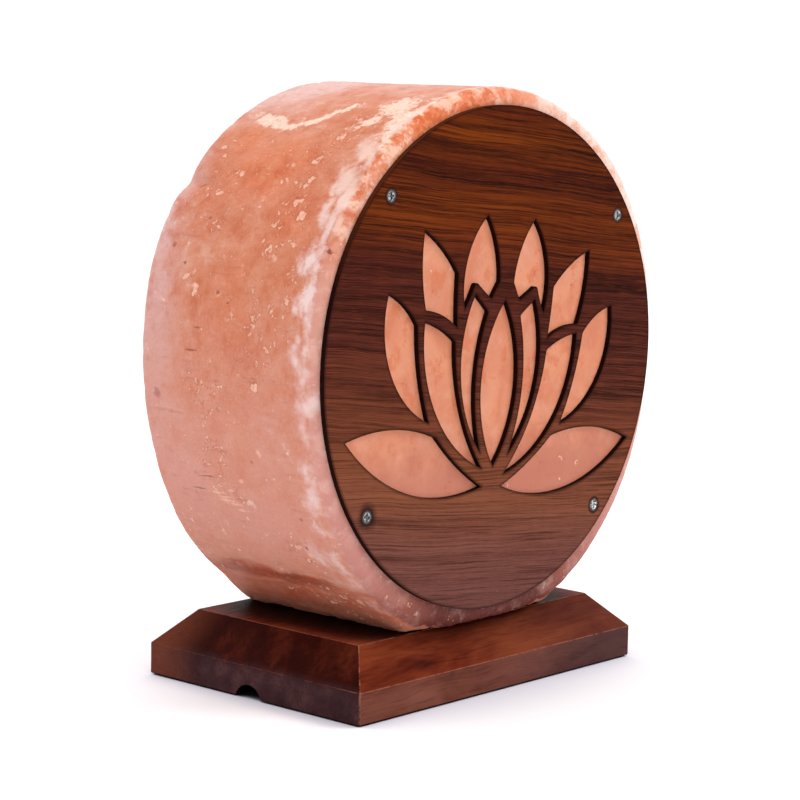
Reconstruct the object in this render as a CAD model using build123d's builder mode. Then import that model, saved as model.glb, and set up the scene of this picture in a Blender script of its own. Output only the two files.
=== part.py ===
from build123d import *
import math
import os

# Salt crystal lamp: a drum of salt on a wooden base, with a thin wooden panel in front that has a
# lotus cut through it, and a lampholder with its bulb that pushes into the drum from below.
#
# Frame, in millimetres: the origin is on the table under the middle of the base, +X runs to the
# right along the front, +Y to the back and +Z up.

os.makedirs("parts", exist_ok=True)

# ---------------------------------------------------------------- clearances, all radial
FIT_PLAY = 0.05       # a part pushed or screwed into its hole
SLIDE_PLAY = 0.10     # the spring clips in the lamp hole
THREAD_PLAY = 0.10    # the bulb's thread in the lampholder's
HOLE_PLAY = 0.25      # a screw's shank in a through hole

# ---------------------------------------------------------------- feet
FOOT_RADIUS = 6.0
FOOT_THICKNESS = 2.0
FOOT_PROUD = 0.5      # how far the base stands off the table
FOOT_INSET = 14.0     # from the base's edges to a foot's middle

# ---------------------------------------------------------------- wooden base
BASE_LENGTH = 160.0
BASE_DEPTH = 110.0
BASE_THICKNESS = 25.4
BASE_SIDE_HEIGHT = 12.0   # the upright part of the sides
BASE_TOP_INSET = 13.0     # how far the sloped faces lean in
BASE_EDGE_ROUND = 0.6
POCKET_LEDGE = 5.0        # round the lamp hole, in the underside: the retaining plate seats on it
POCKET_DEPTH = 11.0
GROOVE_WIDTH = 13.5       # cord groove, measured at the underside
GROOVE_DEPTH = 5.0
GROOVE_Y = 1.5

# ---------------------------------------------------------------- salt drum
DRUM_RADIUS = 102.5
DRUM_DEPTH = 90.0
DRUM_Y = -2.0             # the drum's middle, a little in front of the base's
DRUM_EDGE_ROUND = 5.0
DRUM_FLAT_CUT = 2.0       # taken off the bottom of the round, to seat it on the base
DRUM_SEAT_REACH = 41.0    # of that flat, to each side: the round runs out straight to it
DRUM_SIDE_FLAT = 2.3      # taken off each side, where the round is a little flatter
DRUM_SIDE_WIDEN = 27.5    # how much longer the sides' radius is than the drum's
DRUM_SIDE_BLEND = 60.0    # radius of the blend from a side to the round
BULB_BORE_DEPTH = 105.0   # in the salt
BULB_BORE_ROUND = 8.0     # at the bore's blind end

# ---------------------------------------------------------------- front panel
PANEL_MARGIN = 7.5        # of salt that shows round it
PANEL_THICKNESS = 2.0
PANEL_TURN = 4.85         # degrees that the panel sits clockwise, seen from the front
PANEL_SCREW_MARGIN = 6.8  # from the panel's rim to a screw's middle
PANEL_SCREW_ANGLE = 40.7  # degrees up or down from the panel's cross line

# Half of the lotus, seen from the front and drawn for a panel of LOTUS_PANEL_RADIUS: for each
# cut-out its corners in turn, as (x, z, bulge, rounding). The bulge is how far the edge that
# starts at that corner swells to the left of its run, and the rounding is the corner's radius.
LOTUS_PANEL_RADIUS = 95.0
LOTUS_X = 1.8             # the flower's middle line, from the panel's own
STAGGER = {               # how far each row's left petal sits up, and its right one down
    "outer": 0.4,
    "upper": 1.6,
    "lower": 1.2,
    "leaf": 0.0,
    "spear": 0.1,
    "inner": 0.5,
}
PETALS = {
    "outer": [(65.8, 22.1, -1.7, 0.0), (49.0, 11.0, 1.6, 2.0), (39.0, -24.3, -10.6, 0.0)],
    "upper": [
        (48.8, 44.5, -1.5, 0.0),
        (28.5, 29.6, 0.3, 2.0),
        (27.0, 9.9, 1.4, 0.0),
        (45.0, 15.7, -1.6, 0.6),
    ],
    "lower": [(44.9, 11.7, -1.0, 0.0), (27.3, 5.0, 4.2, 1.5), (6.8, -42.4, -11.3, 0.0)],
    "leaf": [(83.0, -30.7, -3.8, 0.0), (34.1, -29.4, 1.3, 2.5), (6.0, -48.3, -10.7, 0.0)],
    "spear": [
        (14.0, 53.3, 5.1, 0.0),
        (23.3, 18.3, 0.4, 0.0),
        (18.1, 28.9, 0.2, 1.5),
        (8.4, 22.6, 0.0, 0.3),
        (4.2, 29.2, 2.1, 2.0),
    ],
    "inner": [(17.6, 23.5, 0.0, 0.0), (9.6, 17.2, 5.1, 1.0), (8.3, -35.6, -9.6, 0.0)],
}
CENTRE_PETAL = [(0.0, 22.2, 10.5, 0.0), (0.0, -40.5, 10.5, 0.0)]

# ---------------------------------------------------------------- panel screws and their plugs
PANEL_SCREW_RADIUS = 1.45
PANEL_SCREW_LENGTH = 14.0
PANEL_SCREW_HEAD_RADIUS = 2.6     # countersunk, 90 degrees
PANEL_SCREW_TIP = 3.0
PANEL_PLUG_RADIUS = 2.5
PANEL_PLUG_LENGTH = 15.0
CROSS_WIDTH = 0.7         # the cross recess in every screw head
CROSS_SHARE = 0.62        # of the head's radius
CROSS_DEPTH = 0.6

# ---------------------------------------------------------------- screws that hold the drum
DRUM_SCREW_WALL = 3.5     # of wood between the pocket and a screw's counterbore
DRUM_SCREW_RADIUS = 2.0
DRUM_SCREW_REACH = 20.0   # into the salt
DRUM_SCREW_TIP = 5.0
DRUM_SCREW_HEAD_RADIUS = 3.8
DRUM_SCREW_HEAD_HEIGHT = 2.6
WASHER_RADIUS = 4.6
WASHER_THICKNESS = 0.8
COUNTERBORE_RADIUS = 5.0
COUNTERBORE_DEPTH = 9.0
DRUM_PLUG_RADIUS = 3.5
DRUM_PLUG_LENGTH = 24.0

# ---------------------------------------------------------------- retaining plate and clips
PLATE_PLAY = 1.5          # between the plate's rim and the pocket's wall
PLATE_THICKNESS = 1.0
NIPPLE_RADIUS = 5.0
NIPPLE_WALL = 1.4
NIPPLE_BELOW_NUT = 0.6
NUT_ACROSS_FLATS = 14.0
NUT_THICKNESS = 3.0
CLIP_WIDTH = 8.0
CLIP_THICKNESS = 0.5
CLIP_GAP = 0.8            # between the lampholder and a clip's foot
CLIP_GRIP_HEIGHT = 8.0    # above the plate, where the clip bears on the hole
CLIP_LEAN_OUT = 1.1       # from the foot's end to the grip
CLIP_HEIGHT = 18.0
CLIP_LEAN_IN = 3.4        # from the grip to the free end
RIVET_RADIUS = 0.8
RIVET_HEAD_RADIUS = 1.2
RIVET_HEAD_HEIGHT = 0.7

# ---------------------------------------------------------------- lampholder
HOLDER_RADIUS = 14.0
LAMP_GAP = 6.0            # round the lampholder, in the hole through the base and into the salt
HOLDER_WALL = 2.0
CAP_HEIGHT = 13.0
CAP_FLOOR = 2.5
CAP_ROUND = 2.5
NIPPLE_IN_CAP = 2.0       # how far the nipple stands above the cap's floor
SPIGOT_LENGTH = 4.0       # of the body, down inside the cap
SPIGOT_WALL = 1.5
BODY_HEIGHT = 33.0
LEDGE_HEIGHT = 1.5        # of the ring inside the body that carries the insert
INSERT_HEIGHT = 9.0
SHELL_WALL = 0.4
SHELL_TAIL = 1.2          # plain height under the first thread
SHELL_TURNS = 6
CONTACT_WIDTH = 5.0
CONTACT_THICKNESS = 0.4
CONTACT_FOOT = (-5.0, -3.0)   # where the contact's foot starts and ends, from the axis
CONTACT_TOP = (-1.2, 2.2)     # the same for its raised end
TERMINAL_X = 6.2
TERMINAL_SCREW_RADIUS = 1.4
TERMINAL_SCREW_LENGTH = 6.0
TERMINAL_HEAD_RADIUS = 2.4
TERMINAL_HEAD_HEIGHT = 1.6

# ---------------------------------------------------------------- bulb
THREAD_CREST = 6.95       # small screw cap, 14 mm across
THREAD_ROOT = 6.45
THREAD_PITCH = 2.82
BULB_TURNS = 5
TURNS_BELOW_BULB = 2      # of the shell, below the screwed-in cap
CAP_WALL = 0.3
INSULATOR_HEIGHT = 3.2
INSULATOR_TUCK = 1.5      # of the insulator, up inside the cap
INSULATOR_TIP_RADIUS = 3.0
TIP_RADIUS = 2.4
TIP_HEIGHT = 1.0
GLASS_RADIUS = 13.0
GLASS_WALL = 0.8
GLASS_NECK_RADIUS = 6.0
GLASS_NECK_TUCK = 2.5     # of the neck, down inside the screw cap
GLASS_SHOULDER = 11.0     # from the screw cap to where the glass is widest
GLASS_SIDE = 14.0         # the widest part's height
STEM_RADIUS = 2.0
STEM_HEIGHT = 14.0
FLARE_HEIGHT = 2.0
LEAD_RADIUS = 0.3
LEAD_HEIGHT = 8.0
LEAD_SPREAD = 5.0         # between the stem's middle and a lead's top
FILAMENT_RADIUS = 0.25
FILAMENT_RISE = 2.0

# ---------------------------------------------------------------- places that follow from these
base_bottom = FOOT_PROUD
base_top = base_bottom + BASE_THICKNESS
drum_z = base_top + DRUM_RADIUS - DRUM_FLAT_CUT
drum_front = DRUM_Y - DRUM_DEPTH / 2
seat_corner = math.hypot(DRUM_SEAT_REACH, DRUM_RADIUS - DRUM_FLAT_CUT)
seat_slope = math.acos(DRUM_RADIUS / seat_corner) + math.asin(DRUM_SEAT_REACH / seat_corner)
seat_tangent = (DRUM_RADIUS * math.sin(seat_slope), -DRUM_RADIUS * math.cos(seat_slope))
seat_apex = (0, -DRUM_RADIUS / math.cos(seat_slope))
panel_front = drum_front - PANEL_THICKNESS
lamp_hole_radius = HOLDER_RADIUS + LAMP_GAP
pocket_radius = lamp_hole_radius + POCKET_LEDGE
panel_radius = DRUM_RADIUS - PANEL_MARGIN
lotus_scale = panel_radius / LOTUS_PANEL_RADIUS
plate_top = base_bottom + POCKET_DEPTH
plate_bottom = plate_top - PLATE_THICKNESS
cap_top = plate_top + CAP_HEIGHT
insert_bottom = cap_top + LEDGE_HEIGHT
insert_top = insert_bottom + INSERT_HEIGHT
holder_bore = HOLDER_RADIUS - HOLDER_WALL
thread_bottom = insert_top + SHELL_TAIL
bulb_cap_bottom = thread_bottom + TURNS_BELOW_BULB * THREAD_PITCH
bulb_cap_top = bulb_cap_bottom + BULB_TURNS * THREAD_PITCH
insulator_bottom = bulb_cap_bottom - INSULATOR_HEIGHT
contact_top = insulator_bottom - TIP_HEIGHT
glass_widest = bulb_cap_top + GLASS_SHOULDER
glass_dome = glass_widest + GLASS_SIDE
stem_bottom = bulb_cap_top - GLASS_NECK_TUCK
stem_top = stem_bottom + FLARE_HEIGHT + STEM_HEIGHT
lead_top = stem_top + LEAD_HEIGHT
drum_screw_seat = base_bottom + COUNTERBORE_DEPTH - WASHER_THICKNESS
drum_screw_offset = pocket_radius + DRUM_SCREW_WALL + COUNTERBORE_RADIUS
grip_x = math.sqrt((lamp_hole_radius - SLIDE_PLAY) ** 2 - (CLIP_WIDTH / 2) ** 2)
clip_foot_start = HOLDER_RADIUS + CLIP_GAP
clip_foot_end = grip_x - CLIP_LEAN_OUT
rivet_x = (clip_foot_start + clip_foot_end) / 2
nipple_bottom = plate_bottom - NUT_THICKNESS - NIPPLE_BELOW_NUT
groove_radius = (GROOVE_WIDTH**2 / 4 + GROOVE_DEPTH**2) / (2 * GROOVE_DEPTH)

turn = math.radians(PANEL_TURN)
panel_x_dir = (math.cos(turn), 0, -math.sin(turn))
drum_plane = Plane(origin=(0, DRUM_Y, drum_z), x_dir=(1, 0, 0), z_dir=(0, -1, 0))
panel_back_plane = Plane(origin=(0, drum_front, drum_z), x_dir=panel_x_dir, z_dir=(0, -1, 0))
panel_front_plane = Plane(origin=(0, panel_front, drum_z), x_dir=panel_x_dir, z_dir=(0, -1, 0))
lamp_axis = (0, DRUM_Y)
lamp_centre = Axis((0, DRUM_Y, 0), (0, 0, 1))
lamp_section = Plane(origin=(0, DRUM_Y, 0), x_dir=(1, 0, 0), z_dir=(0, -1, 0))

foot_x = BASE_LENGTH / 2 - FOOT_INSET
foot_y = BASE_DEPTH / 2 - FOOT_INSET
FEET = {
    "foot_front_left": (-foot_x, -foot_y),
    "foot_front_right": (foot_x, -foot_y),
    "foot_back_left": (-foot_x, foot_y),
    "foot_back_right": (foot_x, foot_y),
}
panel_screw_radius = panel_radius - PANEL_SCREW_MARGIN
panel_screw_x = panel_screw_radius * math.cos(math.radians(PANEL_SCREW_ANGLE))
panel_screw_z = panel_screw_radius * math.sin(math.radians(PANEL_SCREW_ANGLE))
PANEL_CORNERS = {
    "upper_left": (-panel_screw_x, panel_screw_z),
    "upper_right": (panel_screw_x, panel_screw_z),
    "lower_left": (-panel_screw_x, -panel_screw_z),
    "lower_right": (panel_screw_x, -panel_screw_z),
}
DRUM_FIXINGS = {
    "front": (0, DRUM_Y - drum_screw_offset),
    "back": (0, DRUM_Y + drum_screw_offset),
}
CLIP_SIDES = {"front": -1, "back": 1}
TERMINALS = {"left": -TERMINAL_X, "right": TERMINAL_X}


def save(part, name):
    """Label a finished piece and write it under its own name."""
    part.label = name
    export_step(part, f"parts/{name}.step")


def petal(corners, side, lift=0.0):
    """One cut-out of the lotus. Side 1 is the right-hand one as listed, side -1 its mirror image."""
    points = [
        Vector(side * x + LOTUS_X, z + lift) * lotus_scale
        for x, z, bulge, rounding in corners
    ]
    with BuildSketch() as outline:
        with BuildLine():
            for i, (x, z, bulge, rounding) in enumerate(corners):
                start = points[i]
                end = points[(i + 1) % len(points)]
                if bulge:
                    run = end - start
                    left = Vector(-run.Y, run.X).normalized()
                    swell = left * (bulge * side * lotus_scale)
                    ThreePointArc(start, (start + end) * 0.5 + swell, end)
                else:
                    Line(start, end)
        make_face()
        for point, (x, z, bulge, rounding) in zip(points, corners):
            if rounding:
                corner = outline.vertices().sort_by_distance(point)[0]
                fillet(corner, rounding * lotus_scale)
    return outline.sketch


def lotus():
    """All thirteen cut-outs, in the panel's own plane."""
    with BuildSketch() as flower:
        add(petal(CENTRE_PETAL, 1))
        for row, corners in PETALS.items():
            for side in (-1, 1):
                add(petal(corners, side, -side * STAGGER[row]))
    return flower.sketch


def zigzag(root, crest, bottom, turns):
    """Points up one side of a thread, drawn as rings: root, crest, root and so on."""
    points = [(root, bottom)]
    for ring in range(turns):
        points.append((crest, bottom + (ring + 0.5) * THREAD_PITCH))
        points.append((root, bottom + (ring + 1.0) * THREAD_PITCH))
    return points


def cross_recess(head_radius, head_top):
    """The outline of the cross in a screw's head."""
    with BuildSketch(Plane.XY.offset(head_top)) as cross:
        Rectangle(2 * head_radius * CROSS_SHARE, CROSS_WIDTH)
        Rectangle(CROSS_WIDTH, 2 * head_radius * CROSS_SHARE)
    return cross.sketch


def countersunk_screw(length, radius, tip, head_radius):
    """A screw that points down, with the top of its 90 degree head at the origin."""
    with BuildPart() as screw:
        with BuildSketch(Plane.XZ):
            with BuildLine():
                Polyline(
                    (0, 0),
                    (head_radius, 0),
                    (radius, radius - head_radius),
                    (radius, tip - length),
                    (0, -length),
                    close=True,
                )
            make_face()
        revolve(axis=Axis.Z)
        add(cross_recess(head_radius, 0))
        extrude(amount=-CROSS_DEPTH, mode=Mode.SUBTRACT)
    return screw.part


def pan_head_screw(length, radius, tip, head_radius, head_height):
    """A screw that points down, with its head's seat at the origin."""
    with BuildPart() as screw:
        with BuildSketch(Plane.XZ):
            with BuildLine():
                Polyline(
                    (0, head_height),
                    (head_radius, head_height),
                    (head_radius, 0),
                    (radius, 0),
                    (radius, tip - length),
                    (0, -length),
                    close=True,
                )
            make_face()
        revolve(axis=Axis.Z)
        top_rim = screw.edges().filter_by(GeomType.CIRCLE).sort_by(Axis.Z)[-1]
        fillet(top_rim, head_height / 2)
        add(cross_recess(head_radius, head_height))
        extrude(amount=-CROSS_DEPTH, mode=Mode.SUBTRACT)
    return screw.part


def wall_plug(length, radius, screw_radius):
    """A plug that points down, with its mouth at the origin, split from halfway to its tip."""
    with BuildPart() as plug:
        with BuildSketch():
            Circle(radius)
            Circle(screw_radius + FIT_PLAY, mode=Mode.SUBTRACT)
        extrude(amount=-length)
        with BuildSketch(Plane.XY.offset(-length)):
            Rectangle(2 * radius, screw_radius / 2)
        extrude(amount=length / 2, mode=Mode.SUBTRACT)
    return plug.part


def rivet(grip):
    """A rivet that points down, with its upper head's seat at the origin."""
    with BuildPart() as pin:
        with BuildSketch(Plane.XZ):
            with BuildLine():
                Polyline(
                    (0, RIVET_HEAD_HEIGHT),
                    (RIVET_HEAD_RADIUS, RIVET_HEAD_HEIGHT),
                    (RIVET_HEAD_RADIUS, 0),
                    (RIVET_RADIUS, 0),
                    (RIVET_RADIUS, -grip),
                    (RIVET_HEAD_RADIUS, -grip),
                    (RIVET_HEAD_RADIUS, -grip - RIVET_HEAD_HEIGHT),
                    (0, -grip - RIVET_HEAD_HEIGHT),
                    close=True,
                )
            make_face()
        revolve(axis=Axis.Z)
        rims = pin.edges().filter_by(GeomType.CIRCLE).sort_by(Axis.Z)
        fillet([rims[0], rims[-1]], RIVET_HEAD_HEIGHT / 2)
    return pin.part


def glass_outline(inset, bottom):
    """Half of the bulb's glass, from the neck's foot to the top, as a closed face."""
    neck = GLASS_NECK_RADIUS - inset
    side = GLASS_RADIUS - inset
    with BuildSketch(lamp_section) as half:
        with BuildLine():
            Line((0, bottom), (neck, bottom))
            Line((neck, bottom), (neck, bulb_cap_top))
            Spline((neck, bulb_cap_top), (side, glass_widest), tangents=[(0, 1), (0, 1)])
            Line((side, glass_widest), (side, glass_dome))
            RadiusArc((side, glass_dome), (0, glass_dome + side), -side)
            Line((0, glass_dome + side), (0, bottom))
        make_face()
    return half.sketch


# ---------------------------------------------------------------- the lamp's body
with BuildPart() as salt_drum:
    with BuildSketch(drum_plane) as drum_outline:
        with BuildLine():
            seat_left = (-seat_tangent[0], seat_tangent[1])
            ThreePointArc(seat_left, (0, DRUM_RADIUS), seat_tangent)
            Polyline(seat_tangent, seat_apex, seat_left)
        make_face()
        for side in (-1, 1):
            with Locations((side * (DRUM_SIDE_FLAT + DRUM_SIDE_WIDEN), 0)):
                Circle(DRUM_RADIUS + DRUM_SIDE_WIDEN, mode=Mode.INTERSECT)
        corners = drum_outline.vertices().sort_by(Axis.X)
        fillet(corners[:2] + corners[-2:], DRUM_SIDE_BLEND)
    extrude(amount=DRUM_DEPTH / 2, both=True)
    fillet(salt_drum.edges().filter_by(Axis.Y, reverse=True), DRUM_EDGE_ROUND)
    with BuildSketch(Plane.XY.offset(base_top)):
        Rectangle(2 * DRUM_RADIUS, 2 * DRUM_DEPTH)
    extrude(amount=-DRUM_RADIUS, mode=Mode.SUBTRACT)
    with BuildSketch(Plane.XY.offset(base_top)):
        with Locations(lamp_axis):
            Circle(lamp_hole_radius)
    extrude(amount=BULB_BORE_DEPTH, mode=Mode.SUBTRACT)
    bore_end = salt_drum.faces().filter_by(Axis.Z).sort_by(Axis.Z)[-1]
    fillet(bore_end.edges(), BULB_BORE_ROUND)
    with BuildSketch(panel_back_plane):
        with Locations(*PANEL_CORNERS.values()):
            Circle(PANEL_PLUG_RADIUS + FIT_PLAY)
    extrude(amount=-PANEL_PLUG_LENGTH, mode=Mode.SUBTRACT)
    with BuildSketch(Plane.XY.offset(base_top)):
        with Locations(*DRUM_FIXINGS.values()):
            Circle(DRUM_PLUG_RADIUS + FIT_PLAY)
    extrude(amount=DRUM_PLUG_LENGTH, mode=Mode.SUBTRACT)
save(salt_drum.part, "salt_drum")

with BuildPart(panel_front_plane) as front_panel:
    with BuildSketch(panel_front_plane):
        Circle(panel_radius)
        add(lotus(), mode=Mode.SUBTRACT)
    extrude(amount=-PANEL_THICKNESS)
    with Locations(*PANEL_CORNERS.values()):
        CounterSinkHole(
            radius=PANEL_SCREW_RADIUS + HOLE_PLAY,
            counter_sink_radius=PANEL_SCREW_HEAD_RADIUS + FIT_PLAY,
            depth=PANEL_THICKNESS,
            counter_sink_angle=90,
        )
save(front_panel.part, "front_panel")

for corner, (x, z) in PANEL_CORNERS.items():
    with BuildPart(Plane(panel_front_plane.location * Location((x, z, 0)))) as panel_screw:
        add(
            countersunk_screw(
                PANEL_SCREW_LENGTH,
                PANEL_SCREW_RADIUS,
                PANEL_SCREW_TIP,
                PANEL_SCREW_HEAD_RADIUS,
            )
        )
    save(panel_screw.part, f"panel_screw_{corner}")
    with BuildPart(Plane(panel_back_plane.location * Location((x, z, 0)))) as panel_plug:
        add(wall_plug(PANEL_PLUG_LENGTH, PANEL_PLUG_RADIUS, PANEL_SCREW_RADIUS))
    save(panel_plug.part, f"panel_plug_{corner}")

with BuildPart() as wooden_base:
    with BuildSketch(Plane.XY.offset(base_bottom)):
        Rectangle(BASE_LENGTH, BASE_DEPTH)
    extrude(amount=BASE_SIDE_HEIGHT)
    with BuildSketch(Plane.XY.offset(base_bottom + BASE_SIDE_HEIGHT)):
        Rectangle(BASE_LENGTH, BASE_DEPTH)
    with BuildSketch(Plane.XY.offset(base_top)):
        Rectangle(BASE_LENGTH - 2 * BASE_TOP_INSET, BASE_DEPTH - 2 * BASE_TOP_INSET)
    loft()
    fillet(wooden_base.edges(), BASE_EDGE_ROUND)
    with BuildSketch(Plane.XY.offset(base_bottom)):
        with Locations(lamp_axis):
            Circle(pocket_radius)
    extrude(amount=POCKET_DEPTH, mode=Mode.SUBTRACT)
    with BuildSketch(Plane.XY.offset(base_bottom)):
        with Locations(lamp_axis):
            Circle(lamp_hole_radius)
        with Locations(*DRUM_FIXINGS.values()):
            Circle(DRUM_SCREW_RADIUS + HOLE_PLAY)
    extrude(amount=BASE_THICKNESS, mode=Mode.SUBTRACT)
    with BuildSketch(Plane.XY.offset(base_bottom)):
        with Locations(*DRUM_FIXINGS.values()):
            Circle(COUNTERBORE_RADIUS)
    extrude(amount=COUNTERBORE_DEPTH, mode=Mode.SUBTRACT)
    with BuildSketch(Plane.XY.offset(base_bottom)):
        with Locations(*FEET.values()):
            Circle(FOOT_RADIUS + FIT_PLAY)
    extrude(amount=FOOT_THICKNESS - FOOT_PROUD, mode=Mode.SUBTRACT)
    with BuildSketch(Plane.YZ.offset(-BASE_LENGTH / 2)):
        with Locations((GROOVE_Y, base_bottom + GROOVE_DEPTH - groove_radius)):
            Circle(groove_radius)
    extrude(amount=BASE_LENGTH / 2, mode=Mode.SUBTRACT)
save(wooden_base.part, "wooden_base")

for name, place in FEET.items():
    with BuildPart() as foot:
        with BuildSketch():
            with Locations(place):
                Circle(FOOT_RADIUS)
        extrude(amount=FOOT_THICKNESS)
    save(foot.part, name)

for end, (x, y) in DRUM_FIXINGS.items():
    with BuildPart() as drum_washer:
        with BuildSketch(Plane.XY.offset(drum_screw_seat)):
            with Locations((x, y)):
                Circle(WASHER_RADIUS)
                Circle(DRUM_SCREW_RADIUS + HOLE_PLAY, mode=Mode.SUBTRACT)
        extrude(amount=WASHER_THICKNESS)
    save(drum_washer.part, f"drum_washer_{end}")
    drum_screw_length = base_top + DRUM_SCREW_REACH - drum_screw_seat
    with BuildPart(Plane(origin=(x, y, drum_screw_seat), z_dir=(0, 0, -1))) as drum_screw:
        add(
            pan_head_screw(
                drum_screw_length,
                DRUM_SCREW_RADIUS,
                DRUM_SCREW_TIP,
                DRUM_SCREW_HEAD_RADIUS,
                DRUM_SCREW_HEAD_HEIGHT,
            )
        )
    save(drum_screw.part, f"drum_screw_{end}")
    with BuildPart(Plane(origin=(x, y, base_top), z_dir=(0, 0, -1))) as drum_plug:
        add(wall_plug(DRUM_PLUG_LENGTH, DRUM_PLUG_RADIUS, DRUM_SCREW_RADIUS))
    save(drum_plug.part, f"drum_plug_{end}")

# ---------------------------------------------------------------- the lampholder and its clips
with BuildPart() as holder_plate:
    with BuildSketch(Plane.XY.offset(plate_bottom)):
        with Locations(lamp_axis):
            Circle(pocket_radius - PLATE_PLAY)
            Circle(NIPPLE_RADIUS + FIT_PLAY, mode=Mode.SUBTRACT)
        with Locations(*[(0, DRUM_Y + side * rivet_x) for side in CLIP_SIDES.values()]):
            Circle(RIVET_RADIUS + FIT_PLAY, mode=Mode.SUBTRACT)
    extrude(amount=PLATE_THICKNESS)
save(holder_plate.part, "holder_plate")

for end, side in CLIP_SIDES.items():
    with BuildPart() as spring_clip:
        with BuildSketch(Plane(origin=(0, DRUM_Y, plate_top), x_dir=(0, side, 0), z_dir=(side, 0, 0))):
            with BuildLine():
                Polyline(
                    (clip_foot_start, 0),
                    (clip_foot_end, 0),
                    (grip_x, CLIP_GRIP_HEIGHT),
                    (grip_x - CLIP_LEAN_IN, CLIP_HEIGHT),
                )
                offset(amount=CLIP_THICKNESS, side=Side.LEFT, kind=Kind.INTERSECTION)
            make_face()
        extrude(amount=CLIP_WIDTH / 2, both=True)
        with BuildSketch(Plane.XY.offset(plate_top)):
            with Locations((0, DRUM_Y + side * rivet_x)):
                Circle(RIVET_RADIUS + FIT_PLAY)
        extrude(amount=CLIP_THICKNESS, mode=Mode.SUBTRACT)
    save(spring_clip.part, f"spring_clip_{end}")
    with BuildPart(Plane(origin=(0, DRUM_Y + side * rivet_x, plate_top + CLIP_THICKNESS))) as clip_rivet:
        add(rivet(CLIP_THICKNESS + PLATE_THICKNESS))
    save(clip_rivet.part, f"clip_rivet_{end}")

with BuildPart() as cord_nipple:
    with BuildSketch(Plane.XY.offset(nipple_bottom)):
        with Locations(lamp_axis):
            Circle(NIPPLE_RADIUS)
            Circle(NIPPLE_RADIUS - NIPPLE_WALL, mode=Mode.SUBTRACT)
    extrude(amount=plate_top + CAP_FLOOR + NIPPLE_IN_CAP - nipple_bottom)
save(cord_nipple.part, "cord_nipple")

with BuildPart() as nipple_nut:
    with BuildSketch(Plane.XY.offset(plate_bottom)):
        with Locations(lamp_axis):
            RegularPolygon(NUT_ACROSS_FLATS / 2, 6, major_radius=False)
            Circle(NIPPLE_RADIUS + FIT_PLAY, mode=Mode.SUBTRACT)
    extrude(amount=-NUT_THICKNESS)
save(nipple_nut.part, "nipple_nut")

with BuildPart() as holder_cap:
    with BuildSketch(Plane.XY.offset(plate_top)):
        with Locations(lamp_axis):
            Circle(HOLDER_RADIUS)
    extrude(amount=CAP_HEIGHT)
    fillet(holder_cap.edges().sort_by(Axis.Z)[0], CAP_ROUND)
    with BuildSketch(Plane.XY.offset(plate_top + CAP_FLOOR)):
        with Locations(lamp_axis):
            Circle(holder_bore)
    extrude(amount=CAP_HEIGHT, mode=Mode.SUBTRACT)
    with BuildSketch(Plane.XY.offset(plate_top)):
        with Locations(lamp_axis):
            Circle(NIPPLE_RADIUS + FIT_PLAY)
    extrude(amount=CAP_FLOOR, mode=Mode.SUBTRACT)
save(holder_cap.part, "holder_cap")

with BuildPart() as holder_body:
    with BuildSketch(Plane.XY.offset(cap_top - SPIGOT_LENGTH)):
        with Locations(lamp_axis):
            Circle(holder_bore - FIT_PLAY)
    extrude(amount=SPIGOT_LENGTH)
    with BuildSketch(Plane.XY.offset(cap_top)):
        with Locations(lamp_axis):
            Circle(HOLDER_RADIUS)
    extrude(amount=BODY_HEIGHT)
    with BuildSketch(Plane.XY.offset(cap_top - SPIGOT_LENGTH)):
        with Locations(lamp_axis):
            Circle(holder_bore - FIT_PLAY - SPIGOT_WALL)
    extrude(amount=BODY_HEIGHT, mode=Mode.SUBTRACT)
    with BuildSketch(Plane.XY.offset(insert_bottom)):
        with Locations(lamp_axis):
            Circle(holder_bore)
    extrude(amount=BODY_HEIGHT, mode=Mode.SUBTRACT)
    rims = holder_body.edges().group_by(Axis.Z)[-1]
    fillet(rims, HOLDER_WALL / 3)
save(holder_body.part, "holder_body")

with BuildPart() as holder_insert:
    with BuildSketch(Plane.XY.offset(insert_bottom)):
        with Locations(lamp_axis):
            Circle(holder_bore - FIT_PLAY)
    extrude(amount=INSERT_HEIGHT)
    with BuildSketch(Plane.XY.offset(insert_bottom)):
        with Locations(*[(x, DRUM_Y) for x in TERMINALS.values()]):
            Circle(TERMINAL_SCREW_RADIUS + FIT_PLAY)
    extrude(amount=TERMINAL_SCREW_LENGTH, mode=Mode.SUBTRACT)
save(holder_insert.part, "holder_insert")

with BuildPart() as thread_shell:
    inside = zigzag(THREAD_ROOT + THREAD_PLAY, THREAD_CREST + THREAD_PLAY, thread_bottom, SHELL_TURNS)
    outside = [(radius + SHELL_WALL, z) for radius, z in inside]
    foot_inside = (THREAD_ROOT + THREAD_PLAY, insert_top)
    foot_outside = (THREAD_ROOT + THREAD_PLAY + SHELL_WALL, insert_top)
    with BuildSketch(lamp_section):
        with BuildLine():
            Polyline(foot_inside, *inside, *reversed(outside), foot_outside, close=True)
        make_face()
    revolve(axis=lamp_centre)
save(thread_shell.part, "thread_shell")

with BuildPart() as centre_contact:
    with BuildSketch(lamp_section):
        with BuildLine():
            Polyline(
                (CONTACT_FOOT[0], insert_top),
                (CONTACT_FOOT[1], insert_top),
                (CONTACT_TOP[0], contact_top - CONTACT_THICKNESS),
                (CONTACT_TOP[1], contact_top - CONTACT_THICKNESS),
            )
            offset(amount=CONTACT_THICKNESS, side=Side.LEFT, kind=Kind.INTERSECTION)
        make_face()
    extrude(amount=CONTACT_WIDTH / 2, both=True)
save(centre_contact.part, "centre_contact")

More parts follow.
